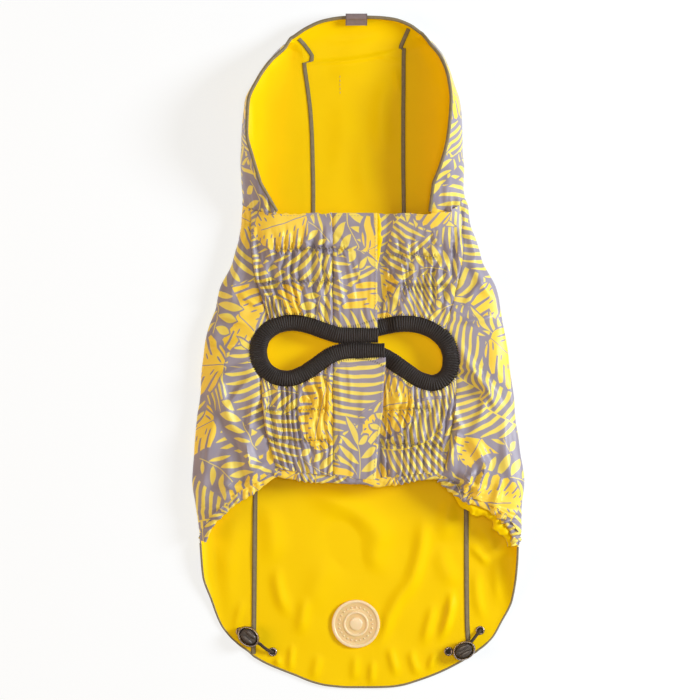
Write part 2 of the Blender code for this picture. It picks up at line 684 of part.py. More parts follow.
def hood_centre():
    left, right = hood_seam(LEFT), hood_seam(RIGHT)
    place = patch(lambda y: left(y) + HOOD_SEAM_GAP / 2, lambda y: right(y) - HOOD_SEAM_GAP / 2,
                  lambda x: NECK_ON_FLOOR + SEAM_GAP, brim_of)

    def surface(u, v):
        x, y = place(u, v)
        return np.array([x, y, brim_height(x, y)])

    rows = [*np.linspace(0, 0.8, 6), 0.84, 0.88, 0.92, 0.955, 0.98, 1]
    cloth("hood_centre", surface, np.linspace(0, 1, 9), rows, "yellow_cloth", outward=-1)


def hood_surface(side):
    """A hood side panel: u runs from the floor seam to the rim, v from the neck to the peak."""
    ribs = HOOD_RIBS[side]
    stations = [(index, *rib) for index, rib in enumerate(ribs)]
    read = [smooth(stations, column + 1) for column in range(8)]

    def rib_point(u, index):
        seam_x, seam_y, fold_x, fold_y, fold_z, rim_x, rim_y, rim_z = (column(index) for column in read)
        seam_x += side * HOOD_SEAM_GAP / 2
        seam = np.array([seam_x, seam_y])
        fold = np.array([fold_x - side * CLOTH, fold_y])
        way = (fold - seam) / np.linalg.norm(fold - seam)
        turn = min(22.0, 0.6 * float(np.linalg.norm(fold - seam)))
        lift_off = fold - way * turn
        low = brim_height(seam_x, seam_y)
        if u <= FLOOR_U:
            flat = seam + (lift_off - seam) * (u / FLOOR_U)
            return np.array([*flat, low])
        if u <= FOLD_U:
            angle = (u - FLOOR_U) / (FOLD_U - FLOOR_U) * math.pi / 2
            flat = lift_off + way * turn * math.sin(angle)
            return np.array([*flat, low + (fold_z - low) * (1 - math.cos(angle))])
        end = math.radians(RIM_TURN)
        angle = (u - FOLD_U) / (1 - FOLD_U) * end
        share = (1 - math.cos(angle)) / (1 - math.cos(end))
        flat = fold + (np.array([rim_x, rim_y]) - fold) * share
        return np.array([*flat, fold_z + (rim_z - fold_z) * math.sin(angle) / math.sin(end)])

    def neck_point(u):
        start = (back_seam_of[side](NECK_ON_FLOOR) + SEAM_GAP / 2) / floor_edge(side, NECK_ON_FLOOR)
        last = girth_on_top(side, THROAT[side], CHEST_EDGE)
        girth = float(np.interp(u, [0, FLOOR_U, FOLD_U, 1], [start, 1, 2, last]))
        return section(side, girth, neck_line(side, girth) + NECK_GAP)

    def surface(u, v):
        index = v * len(ribs) - 1
        if index >= 0:
            return rib_point(u, index)
        return neck_point(u) * -index + rib_point(u, 0) * (1 + index)

    return surface


def hood_sides():
    columns = [*SIDE_COLUMNS, 0.76, 0.85, 0.93, 1]
    for side, name in ((LEFT, "hood_side_left"), (RIGHT, "hood_side_right")):
        rows = np.linspace(0, PEAK_V, 2 * len(HOOD_RIBS[side]) + 1)
        cloth(name, hood_surface(side), columns, rows, "printed_cloth", outward=-side)


def hood_rim():
    """Grey piping round the hood's opening, on the edges of its three panels."""
    path = []
    for side in (LEFT, RIGHT):
        surface = hood_surface(side)
        points = []
        for v in np.linspace(0.06, 0.985, 17):
            edge = surface(1, v)
            way = edge - surface(0.98, v)
            way /= np.linalg.norm(way)
            normal = np.cross(way, surface(1, v + STEP) - surface(1, v - STEP)) * -side
            normal /= np.linalg.norm(normal)
            points.append(edge + way * (PIPING_RADIUS + PIPING_GAP) + normal * CLOTH / 2)
        if side == LEFT:
            path += points
            for x in np.linspace(-38, 36, 11):
                y = brim_of(x)
                path.append(np.array([x, y + CLOTH / 2, brim_height(x, y) + SEAM_GAP + PIPING_RADIUS]))
        else:
            path += points[::-1]
    tube("hood_rim", path_through(path, 50), PIPING_RADIUS, 6, "grey_tape")


def hood_tab():
    """A folded strip of tape over the piping at the brim's middle."""
    middle_y = brim_of(TAB_AT) + CLOTH / 2
    middle_z = brim_height(TAB_AT, brim_of(TAB_AT)) + SEAM_GAP + PIPING_RADIUS
    inside = PIPING_RADIUS + 0.5

    def surface(u, v):
        x = TAB_AT + (v - 0.5) * TAB_WIDTH
        if u < 0.3:
            down = (0.3 - u) / 0.3 * TAB_LEG
            return np.array([x, middle_y - inside - 0.8 * down, middle_z - 0.5 * down])
        if u > 0.7:
            return np.array([x, middle_y + inside, middle_z - (u - 0.7) / 0.3 * TAB_LEG])
        angle = (u - 0.3) / 0.4 * math.pi
        return np.array([x, middle_y - inside * math.cos(angle), middle_z + inside * math.sin(angle)])

    cloth("hood_tab", surface, [0, 0.29, 0.4, 0.5, 0.6, 0.71, 1], [0, 0.5, 1], "grey_tape", wall=TAB_WALL,
          outward=-1)


def tapes():
    """Seam tapes on the inside of the long seams."""
    for side, word in ((LEFT, "left"), (RIGHT, "right")):
        def on_floor(u, v, side=side):
            y = BACK_TAPE_END + v * (NECK_ON_FLOOR - 1 - BACK_TAPE_END)
            return np.array([side * back_seam_of[side](y) + (u - 0.5) * BACK_TAPE_WIDTH, y, CLOTH])

        cloth(f"back_tape_{word}", on_floor, [0, 1], np.linspace(0, 1, 15), "grey_tape", wall=TAPE_WALL,
              lift=SEAM_GAP)

        seam, crease = hood_seam(side), HOOD_CREASE[side]
        bends = HOOD_TAPE_TOP[side]
        levels = [*np.linspace(NECK_ON_FLOOR + 1, crease - 0.8, 10), *(y for y, _ in bends)]

        def on_hood(u, v, seam=seam, crease=crease, bends=bends, levels=levels):
            y = float(np.interp(v, np.linspace(0, 1, len(levels)), levels))
            x = seam(y) if y < crease else float(np.interp(y, *zip(*bends)))
            x += (u - 0.5) * HOOD_TAPE_WIDTH
            return np.array([x, y, brim_height(x, y) + 0.5 * ease(200, 215, y)])

        cloth(f"hood_tape_{word}", on_hood, [0, 1], np.linspace(0, 1, len(levels)), "grey_tape",
              wall=TAPE_WALL, lift=SEAM_GAP)


def tail_piping():
    """Thin piping round the tail, on the turned-up sides and along the back panel's hem."""
    path = []
    for side in (LEFT, RIGHT):
        points = []
        for y in np.linspace(SIDE_HEM[side][-1][1] - 4, OUTLINE[-1][0] + 7, 12):
            edge = section(side, TAIL_GIRTH, y)
            way = edge - section(side, TAIL_GIRTH - 0.06, y)
            way /= np.linalg.norm(way)
            normal = np.cross(way, (0, 1, 0)) * -side
            points.append(edge + way * (TAIL_PIPING_RADIUS + PIPING_GAP) + normal * CLOTH / 2)
        if side == LEFT:
            path += points
            hem = path_through([(x, tail_edge_of(x)) for x in np.linspace(-79, 83.5, 24)], 24)
            out = hem + side_normals(hem) * (SEAM_GAP + TAIL_PIPING_RADIUS)
            path += [np.array([x, y, TAIL_PIPING_RADIUS + 0.2]) for x, y in out]
        else:
            path += points[::-1]
    tube("tail_piping", path_through(path, 56), TAIL_PIPING_RADIUS, 5, "grey_tape")


def badge():
    """A round rubber badge with a raised rim and a raised ring, and nothing on it."""
    low, ring = BADGE_HEIGHT - 0.5, BADGE_HEIGHT
    profile = [(0, 0), (BADGE_RADIUS - 0.6, 0), (BADGE_RADIUS, 0.5), (BADGE_RADIUS - 0.3, ring),
               (BADGE_RADIUS - 2.0, ring), (BADGE_RADIUS - 2.5, low), (9.6, low), (9.2, ring), (8.2, ring),
               (7.8, low), (5.0, low), (4.4, ring), (0, ring)]
    turned("badge", profile, 24, "badge_rubber", (*BADGE_AT, CLOTH + SEAM_GAP))


def eyelets_and_locks():
    """Two eyelets at each side of the tail, and the cord that passes between them through a lock."""
    base = CLOTH + SEAM_GAP
    for word, (x, y) in EYELETS.items():
        profile = [(EYELET_HOLE, 0), (EYELET_RADIUS, 0), (EYELET_RADIUS - 0.3, 0.7 * EYELET_HEIGHT),
                   (0.5 * (EYELET_HOLE + EYELET_RADIUS), EYELET_HEIGHT), (EYELET_HOLE, 0.6 * EYELET_HEIGHT)]
        turned(f"eyelet_{word}", profile, 12, "dark_metal", (x, y, base))
    for word, (x, y, turn) in LOCKS.items():
        stretch = (LOCK_LENGTH / 2, LOCK_WIDTH / 2)
        lift = base + EYELET_HEIGHT + SEAM_GAP
        shell = [(0.74, 0), (0.94, 0.1 * LOCK_HEIGHT), (1, 0.45 * LOCK_HEIGHT), (0.9, 0.85 * LOCK_HEIGHT),
                 (0.8, LOCK_HEIGHT), (0.72, 0.92 * LOCK_HEIGHT)]
        turned(f"cord_lock_{word}", shell, 16, "dark_metal", (x, y, lift), stretch, turn)
        button = [(0, 0.1 * LOCK_HEIGHT), (0.6, 0.1 * LOCK_HEIGHT), (0.66, 0.3 * LOCK_HEIGHT),
                  (0.64, 0.85 * LOCK_HEIGHT), (0.4, 0.98 * LOCK_HEIGHT), (0, 1.02 * LOCK_HEIGHT)]
        turned(f"cord_lock_{word}_button", button, 16, "black_plastic", (x, y, lift), stretch, turn)
        tube(f"drawcord_{word}", CORDS[word], CORD_RADIUS, 8, "black_cord")


def main():
    for old in list(bpy.data.objects):
        bpy.data.objects.remove(old, do_unlink=True)
    back_panel()
    side_panel(LEFT, "side_panel_left")
    side_panel(RIGHT, "side_panel_right")
    chest_and_belly()
    leg_bindings()
    hems()
    hood_centre()
    hood_sides()
    hood_rim()
    hood_tab()
    tapes()
    tail_piping()
    badge()
    eyelets_and_locks()


main()
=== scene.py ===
"""The looks of a dog raincoat that lies on its back with the belly side up, hood at the top."""

import math

import bpy
import numpy as np
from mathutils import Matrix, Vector


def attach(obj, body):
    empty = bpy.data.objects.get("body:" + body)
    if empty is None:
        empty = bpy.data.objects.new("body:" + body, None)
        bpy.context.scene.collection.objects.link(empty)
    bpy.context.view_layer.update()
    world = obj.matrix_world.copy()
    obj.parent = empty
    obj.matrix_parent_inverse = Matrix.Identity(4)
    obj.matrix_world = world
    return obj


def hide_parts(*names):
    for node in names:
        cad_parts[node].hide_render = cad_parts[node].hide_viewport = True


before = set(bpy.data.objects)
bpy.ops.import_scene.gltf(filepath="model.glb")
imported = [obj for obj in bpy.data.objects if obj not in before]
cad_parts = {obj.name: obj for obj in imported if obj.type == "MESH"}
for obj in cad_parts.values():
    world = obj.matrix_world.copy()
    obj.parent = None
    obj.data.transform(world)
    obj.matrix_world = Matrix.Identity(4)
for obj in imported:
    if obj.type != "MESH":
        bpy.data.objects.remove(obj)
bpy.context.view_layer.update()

# The table top and the light -------------------------------------------------------------------------
# The coat lies on a pale matt table and is seen from straight above. A large soft light stands to its
# right, low enough to leave the hood's right wall in shade. A warm one to its left, one past the tail
# and one overhead are weaker, and the room fills the rest.


def new_node(tree, kind, settings, inputs):
    """A node with its settings. Each input is a value, or the socket that feeds it."""
    made = tree.nodes.new(kind)
    for name, value in settings.items():
        setattr(made, name, value)
    for name, value in inputs.items():
        if isinstance(value, bpy.types.NodeSocket):
            tree.links.new(value, made.inputs[name])
        else:
            made.inputs[name].default_value = value
    return made


class Wire:
    """A socket in the material that is being made. Sums of wires and numbers become Math nodes."""

    tree = None

    def __init__(self, socket):
        self.socket = socket

    @classmethod
    def node(cls, kind, settings, inputs, output=0):
        fed = {name: value.socket if isinstance(value, Wire) else value for name, value in inputs.items()}
        return cls(new_node(cls.tree, "ShaderNode" + kind, settings, fed).outputs[output])

    def math(self, operation, *others):
        return self.node("Math", {"operation": operation}, dict(enumerate((self, *others))))

    def __add__(self, other):
        return self.math("ADD", other)

    __radd__ = __add__

    def __sub__(self, other):
        return self.math("SUBTRACT", other)

    def __rsub__(self, other):
        return self.node("Math", {"operation": "SUBTRACT"}, {0: other, 1: self})

    def __mul__(self, other):
        return self.math("MULTIPLY", other)

    __rmul__ = __mul__

    def __truediv__(self, other):
        return self.math("DIVIDE", other)

    def __abs__(self):
        return self.math("ABSOLUTE")

    def __neg__(self):
        return self * -1

    def __pow__(self, other):
        return self.math("POWER", other)

    def low(self, other):
        return self.math("MINIMUM", other)

    def high(self, other):
        return self.math("MAXIMUM", other)

    def wave(self):
        return self.math("SINE")

    def turn_share(self):
        return self.math("COSINE")

    def whole(self):
        return self.math("FLOOR")

    def rest(self):
        return self.math("FRACT")

    def sign(self):
        return self.math("SIGN")

    def held(self, most=1.0):
        """Kept from 0 to the given most."""
        return self.high(0.0).low(most)


def colour(red, green, blue):
    """A colour as a screen shows it, from 0 to 255, in the light values that a shader takes."""
    shares = (red / 255, green / 255, blue / 255)
    return tuple(c / 12.92 if c < 0.0405 else ((c + 0.055) / 1.055) ** 2.4 for c in shares)


def blend(share, first, second):
    """The first colour, and the second where share is 1."""
    ends = [end if isinstance(end, Wire) else (*end, 1) for end in (first, second)]
    return Wire.node("Mix", {"data_type": "RGBA"}, {0: share, 6: ends[0], 7: ends[1]}, 2)


def on_object():
    return Wire.node("TexCoord", {}, {}, 3)


def noise(place, scale, detail=2.0, output=0):
    return Wire.node("TexNoise", {}, {"Vector": place, "Scale": scale, "Detail": detail}, output)


def material(name, looks):
    """A material whose Principled sockets are what the looks function gives, by socket name."""
    made = bpy.data.materials.new(name)
    made.use_nodes = True
    Wire.tree = made.node_tree
    shader = made.node_tree.nodes["Principled BSDF"]
    for socket, value in looks().items():
        if isinstance(value, Wire):
            made.node_tree.links.new(value.socket, shader.inputs[socket])
        elif isinstance(value, tuple):
            shader.inputs[socket].default_value = (*value, 1)
        else:
            shader.inputs[socket].default_value = value
    return made


def table_looks():
    grain = noise(on_object(), 3.0)
    return {"Base Color": blend(grain, (0.29, 0.31, 0.34), (0.31, 0.33, 0.36)), "Roughness": 0.9,
            "Emission Color": (0.98, 1.0, 1.0), "Emission Strength": 0.7}


def add(name, data):
    """A new object in the scene, at the origin."""
    made = bpy.data.objects.new(name, data)
    bpy.context.scene.collection.objects.link(made)
    return made


LIGHTS = {  # place and width in metres, watts, colour
    "key_light": ((1.7, 0.35, 0.92), 0.7, 37, (0.96, 1.0, 1.06)),
    "fill_light": ((-1.7, -0.2, 0.9), 1.2, 14, (1.0, 0.66, 0.4)),
    "tail_light": ((0.8, -1.8, 0.7), 1.0, 4, (1.0, 0.88, 0.7)),
    "top_light": ((0.1, 0.1, 2.4), 0.6, 12, (1.0, 0.88, 0.72)),
}
ROOM_COLOUR, ROOM_STRENGTH = (1, 0.84, 0.7, 1), 0.2
TABLE_HALF, TABLE_LEVEL = 4, -0.0003
CAMERA_PLACE, LENS, FILM = (-0.00606, 0.0004, 3.0), 203.0, 36

for name, (place, width, watts, tint) in LIGHTS.items():
    lamp = bpy.data.lights.new(name, "AREA")
    lamp.shape, lamp.size, lamp.energy, lamp.color = "DISK", width, watts, tint
    light = add(name, lamp)
    light.location = place
    light.rotation_euler = (-Vector(place)).to_track_quat("-Z", "Y").to_euler()
room = bpy.data.worlds.new("room")
room.use_nodes = True
room.node_tree.nodes["Background"].inputs["Color"].default_value = ROOM_COLOUR
room.node_tree.nodes["Background"].inputs["Strength"].default_value = ROOM_STRENGTH
bpy.context.scene.world = room
bpy.context.scene.view_settings.view_transform = "Standard"

table_mesh = bpy.data.meshes.new("table_top")
square = ((-1, -1), (1, -1), (1, 1), (-1, 1))
table_corners = [(x * TABLE_HALF, y * TABLE_HALF, TABLE_LEVEL) for x, y in square]
table_mesh.from_pydata(table_corners, [], [(0, 1, 2, 3)])
table_mesh.materials.append(material("pale_table", table_looks))
add("table_top", table_mesh)

camera = add("camera", bpy.data.cameras.new("camera"))
camera.data.sensor_width, camera.data.lens = FILM, LENS
camera.location = CAMERA_PLACE
bpy.context.scene.camera = camera

# The back panel --------------------------------------------------------------------------------------
# The long piece that the dog wears on its back, of thin polyester with a yellow coating inside. It lies
# printed side down, so its plain yellow inside shows at the tail, in soft folds.

MM = 0.001
CLOTH = 1.2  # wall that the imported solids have, and so how far apart the two faces of this shell are
LEFT, RIGHT = -1, 1
BACK_SEAM = [  # y, left, right
    (98, 34, 35), (70, 52, 52.5), (40, 66, 66), (10, 73.5, 72), (-40, 76, 76.5), (-103, 78, 82),
    (-202, 79, 82.8), (-230, 79.5, 84.3),
]
TAIL_EDGE = [  # x, y of the hem
    (-81, -230.4), (-70, -236.8), (-47, -246.2), (-33, -251.6), (-22, -254), (-6, -255.2), (10, -255.2),
    (24, -254.8), (34, -253.4), (43, -250.8), (60, -244.6), (76, -236.8), (86, -230.8),
]
NECK_ON_FLOOR = 98
SEAM_GAP = 0.05  # between the edges of two pieces that are sewn together
LYING = 0.2  # how far cloth that lies flat is off the table
SHARP_FROM = 62  # degrees between two faces, from which their edge isn't smoothed
FITTINGS = [  # x, y and how far round it the cloth lies flat
    (-1.6, -207.6, 18), (-64.8, -228.9, 3), (-83, -217, 9), (68.8, -228.6, 3), (80.4, -227.5, 9),
]
FOLDS_FROM, FOLDS_FULL = -96, -112  # y where the tail comes out from under the belly
TAIL_FOLDS = [  # from x, y, to x, y, half width, rise, sideways bow
    (-36, -108, 22, -142, 9, 1.5, -4), (18, -136, 14, -168, 8, 0.9, 3), (-14, -120, 2, -170, 12, -0.9, 5),
    (50, -128, 36, -186, 5.5, 1.5, -3), (38, -176, 16, -222, 5, 1.2, 2), (-62, -166, -54, -200, 4.5, 1.2, 2),
    (-40, -188, -44, -214, 4.5, 1, 0), (57, -194, 50, -222, 3.6, 1.1, 0), (71, -184, 63, -218, 3.2, 1.9, -2),
    (62, -150, 74, -178, 7, 0.9, 2), (-70, -118, -66, -160, 8, 1, -3), (24, -226, 29, -246, 3, 1, 0),
    (11, -236, 10, -253, 2.6, 0.9, 0), (-2, -232, -3, -250, 3, 0.7, 0), (40, -228, 46, -246, 3, 1, 1),
    (-64, -226, -60, -240, 2.2, 1.3, 0), (-50, -224, -52, -243, 2.4, 1, 0),
    (-30, -232, -34, -249, 3.4, 0.8, 0), (58, -230, 54, -242, 2.4, 1, 0),
    (-22, -160, -34, -196, 9, 0.7, 3), (70, -112, 66, -142, 6, 0.9, 0),
]


def curve_between(t, span, first, last, slope_first, slope_last):
    """The smooth curve between two values with the given slopes, at share t of the span between."""
    start = (1 + 2 * t) * (1 - t) ** 2 * first + t * (1 - t) ** 2 * span * slope_first
    return start + (t * t * (3 - 2 * t) * last + t * t * (t - 1) * span * slope_last)


def smooth(table, column, key=0):
    """A function of the key column that runs smoothly through a column, with no overshoot."""
    rows = sorted(table, key=lambda row: row[key])
    keys = np.array([row[key] for row in rows], float)
    values = np.array([row[column] for row in rows], float)
    slopes = np.diff(values) / np.diff(keys)
    same_way = slopes[:-1] * slopes[1:] > 0
    total = np.where(same_way, slopes[:-1] + slopes[1:], 1.0)
    inner = np.where(same_way, 2 * slopes[:-1] * slopes[1:] / total, 0.0)
    tangents = np.concatenate([slopes[:1], inner, slopes[-1:]])

    def value(at):
        at = np.asarray(at, float)
        i = np.clip(np.searchsorted(keys, at) - 1, 0, len(keys) - 2)
        span = keys[i + 1] - keys[i]
        t = np.clip((at - keys[i]) / span, 0, 1)
        found = curve_between(t, span, values[i], values[i + 1], tangents[i], tangents[i + 1])
        return found + np.minimum(at - keys[0], 0) * tangents[0] + np.maximum(at - keys[-1], 0) * tangents[-1]

    return value


def by_side(table):
    """A function of y for each side, from a table of y, left, right."""
    return {LEFT: smooth(table, 1), RIGHT: smooth(table, 2)}


def ease(low, high, at):
    """0 below low, 1 above high, and a smooth rise between."""
    t = np.clip((at - low) / (high - low), 0, 1)
    return t * t * (3 - 2 * t)


def bell(off, width):
    """1 in the middle, and fading out on both sides."""
    return np.exp(-((off / width) ** 2))


def mottle(seed, x, y):
    """Smooth random heights from -1 to 1, with about one swing for each unit of x and of y."""
    table = np.random.default_rng(seed).uniform(-1, 1, (64, 64))
    i, j = np.floor(x).astype(int), np.floor(y).astype(int)
    s, t = x - i, y - j
    s, t = s**3 * (s * (6 * s - 15) + 10), t**3 * (t * (6 * t - 15) + 10)
    low = table[i % 64, j % 64] * (1 - s) + table[(i + 1) % 64, j % 64] * s
    high = table[i % 64, (j + 1) % 64] * (1 - s) + table[(i + 1) % 64, (j + 1) % 64] * s
    return low * (1 - t) + high * t


def folds(table, x, y):
    """Soft ridges, and troughs where the rise is negative, that fade out at both ends."""
    total = np.zeros(np.broadcast(x, y).shape)
    for x0, y0, x1, y1, width, rise, bow in table:
        length = math.hypot(x1 - x0, y1 - y0)
        along = ((x - x0) * (x1 - x0) + (y - y0) * (y1 - y0)) / length**2
        off = ((x - x0) * (y1 - y0) - (y - y0) * (x1 - x0)) / length - bow * 4 * along * (1 - along)
        fade = ease(-0.15, 0.35, along)
        total += rise * bell(off, width) * fade * (1 - ease(0.65, 1.15, along))
    return total


def shares(rows, columns):
    """Rows and columns of evenly spaced shares, from 0 to 1."""
    return np.linspace(0, 1, rows)[:, None], np.linspace(0, 1, columns)[None, :]


def patch(left_x, right_x, low_y, high_y):
    """A four-sided piece seen from above, as a map from (u, v) to (x, y)."""

    def place(u, v):
        x = np.zeros_like(u) + (left_x(0.0) + right_x(0.0)) / 2
        for _ in range(24):
            y = low_y(x) + (high_y(x) - low_y(x)) * v
            x = x + (left_x(y) + (right_x(y) - left_x(y)) * u - x) / 2
        return x, low_y(x) + (high_y(x) - low_y(x)) * v

    return place


def pairs_of(across, along):
    """Two grids as a list of pairs."""
    return np.stack(np.broadcast_arrays(across, along), axis=2).reshape(-1, 2)


def lay_uv(mesh, uv):
    """Gives a mesh its cloth coordinates, one for each point in millimetres."""
    corners = np.empty(len(mesh.loops), np.int32)
    mesh.loops.foreach_get("vertex_index", corners)
    mesh.uv_layers.new(name="cloth").data.foreach_set("uv", (np.asarray(uv)[corners] * MM).ravel())


def put(name, mesh, stands_for):
    """Shades a mesh and adds it as a piece that rides on the coat."""
    mesh.shade_smooth()
    mesh.set_sharp_from_angle(angle=math.radians(SHARP_FROM))
    made = add(name, mesh)
    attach(made, "root")
    if stands_for:
        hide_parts(*stands_for)
    return made


def piece(name, points, faces, finishes, stands_for, uv=None, finish_of_face=None):
    """One piece from points in millimetres, with the cloth coordinates of each."""
    mesh = bpy.data.meshes.new(name)
    mesh.from_pydata((np.asarray(points, float) * MM).tolist(), [], faces)
    for finish in finishes:
        mesh.materials.append(finish)
    if finish_of_face is not None:
        mesh.polygons.foreach_set("material_index", np.asarray(finish_of_face, np.int32))
    if uv is not None:
        lay_uv(mesh, uv)
    return put(name, mesh, stands_for)


def grid_faces(across, along, flip):
    """Faces of a closed wall: its outer skin, its inner skin, then its border."""
    skin = across * along
    column, row = np.meshgrid(np.arange(across - 1), np.arange(along - 1))
    a = (row * across + column).ravel()
    outer = np.stack([a, a + 1, a + across + 1, a + across], axis=1)
    border = [*range(across)]
    border += [r * across + across - 1 for r in range(1, along)]
    border += [(along - 1) * across + c for c in range(across - 2, -1, -1)]
    border += [r * across for r in range(along - 2, 0, -1)]
    edge = np.array([(b, a, a + skin, b + skin) for a, b in zip(border, border[1:] + border[:1])])
    faces = np.concatenate([outer, outer[:, ::-1] + skin, edge])
    if flip:
        faces = faces[:, ::-1]
    kinds = np.concatenate([np.zeros(len(outer)), np.ones(len(outer)), np.zeros(len(edge))])
    return faces.tolist(), kinds.astype(int)


def surface_normals(base, outward):
    normal = np.cross(np.gradient(base, axis=1), np.gradient(base, axis=0)) * outward
    return normal / (np.linalg.norm(normal, axis=2)[:, :, None] + 1e-12)


def arc_across(points):
    """How far each point of a grid lies from its row's first point, along the row."""
    steps = np.linalg.norm(np.diff(points, axis=1), axis=2)
    return np.concatenate([np.zeros((len(points), 1)), np.cumsum(steps, axis=1)], axis=1)


def cloth(name, base, outward, height, stands_for, uv_start=0.0, uv_side=1, wall=CLOTH, uv_turn=0.0,
          print_at=None):
    """A cut piece, printed outside and yellow inside. base is the plain inside face of the solid as a
    grid, and height is what the folds add to the wall there. print_at gives its cloth coordinates
    where they don't follow x and y."""
    normal = surface_normals(base, outward)
    outer = base + normal * (CLOTH + height)[:, :, None]
    inner = outer - normal * wall
    faces, kinds = grid_faces(base.shape[1], base.shape[0], outward < 0)
    across, along = print_at or (uv_start + uv_side * arc_across(outer), base[:, :, 1])
    swing = math.radians(uv_turn)
    uv = pairs_of(across * math.cos(swing) - along * math.sin(swing),
                  across * math.sin(swing) + along * math.cos(swing))
    points = np.concatenate([outer, inner]).reshape(-1, 3)
    uv = np.concatenate([uv, uv])
    return piece(name, points, faces, (printed, yellow), stands_for, uv, kinds)


def on_cloth():
    return Wire.node("UVMap", {"uv_map": "cloth"}, {})


def millimetres(place, *axes):
    """The parts of a place along some axes, in millimetres."""
    return [Wire.node("SeparateXYZ", {}, {0: place}, axis) * 1000 for axis in axes]


def bumps(height, strength, depth=0.0003):
    return Wire.node("Bump", {}, {"Strength": strength, "Distance": depth, "Height": height})


def lining_looks():
    """Smooth yellow coating, a little uneven in tone. By the legs it has a painted glow: an emission that
    stands in for the light that comes through the thin cloth above it."""
    place = on_object()
    (along,) = millimetres(place, 1)
    # painted glow: emission at full strength round the middle, where the legs are, fading out towards the
    # neck and the tail
    painted_glow = (1.6 - abs(along + 3) / 30).held()
    return {
        "Base Color": blend(noise(place, 28.0, 3.0), colour(249, 210, 0), colour(253, 218, 0)),
        "Roughness": 0.45,
        "Specular IOR Level": 0.07,
        "Normal": bumps(noise(place, 2600.0, 1.0), 0.12, 0.0002),
        "Emission Color": blend(painted_glow, (0.0, 0.0, 0.0), colour(255, 190, 0)),
        "Emission Strength": 0.2,
    }


def spread(x, y, wide, tall, shift, turn, seed):
    """Cells of a motif: coordinates from each cell's middle, turned by the cell's own angle."""
    row = (y / tall).whole()
    moved = x + row * shift
    column = (moved / wide).whole()
    cell = Wire.node("CombineXYZ", {}, {0: column, 1: row, 2: seed})
    chance = Wire.node("TexWhiteNoise", {"noise_dimensions": "3D"}, {"Vector": cell})
    off_x, off_y = moved - (column + 0.5) * wide, y - (row + 0.5) * tall
    angle = chance * 6.3 + turn
    cos, sin = angle.turn_share(), angle.wave()
    return off_x * cos + off_y * sin, off_y * cos - off_x * sin


def palm_frond(s, t, half, reach_out, pitch):
    """How far a point is outside a frond, in millimetres, and outside the grey ground that it keeps round
    it. Its narrow leaflets fan out from a bowed rib."""
    t = t - s * s * 0.006 + 6.0
    away = abs(t)
    fan = away * 0.008 + 1
    root = (s - away * 0.36 - away * away * 0.006) / fan
    size = (1 - (root / half) ** 2).high(0.0) ** 0.5 * reach_out
    share = away / (size + 0.01)
    thick = (1 - share).high(0.0) ** 0.5 * (share * 1.1 + 0.6) * (0.3 * pitch)
    leaflet = abs((root / pitch + t.sign() * 0.2).rest() - 0.5) * fan * (pitch * 0.9) - thick
    rib = (away - 0.55).high(abs(s) - half)
    edge = (away - size).high(abs(root) - half)
    return leaflet.high(edge).low(rib), edge.low(rib) - 1.5


def leaf_sprig(s, t, half, leaf, pitch):
    """The same for a sprig of pointed leaves, one after another on both sides of a thin bowed stem."""
    t = t - s * s * 0.009 + 3.0
    away = abs(t)
    shift = t.sign() * 0.25
    spot = (s - away * 0.75) / pitch + shift
    middle = (spot.whole() + 0.5 - shift) * pitch
    size = 1.18 - abs(middle) / (half * 1.8)
    along = away * 2.5 / (size * leaf) - 1.12
    thick = (1 - along * along) * size * 2.75
    leaves = (abs(spot.rest() - 0.5) * (pitch * 0.8) - thick).high(abs(middle) - half)
    stem = (away - 0.3).high(abs(s) - half - 2)
    tip = (s - half - leaf * 0.4) / (leaf * 0.5)
    last = away - (1 - tip * tip) * 2.5
    outside = leaves.low(stem).low(last)
    bed = ((s / (half + 8)) ** 2 + (t / (leaf * 0.92)) ** 2) ** 0.5 * leaf - leaf
    return outside, (outside - 1.3).low(bed)


def broad_leaf(s, t, size):
    """The same for a broad leaf, with slots in from its edge and a small mark in each lobe."""
    away = abs(t)
    lobe = abs(((s - away * 0.6) / 8.6 + t.sign() * 0.2).rest() - 0.5)
    half = (1 - ((s + away * 0.25) / size) ** 2).high(0.0) ** 0.5 * (size * 0.82)
    cut = (away * 0.045 + 0.35 - lobe * 7.4).low(away - half * 0.4)
    mark = 1.0 - (((0.5 - lobe) * 11.0) ** 2 + ((away - half * 0.32) * 0.55) ** 2) ** 0.5
    rib = (0.35 - away).low(size * 0.7 - s)
    edge = away - half * (lobe * 0.3 + 0.85)
    return edge.high(cut).high(mark).high(rib), (away - half) - 1.4


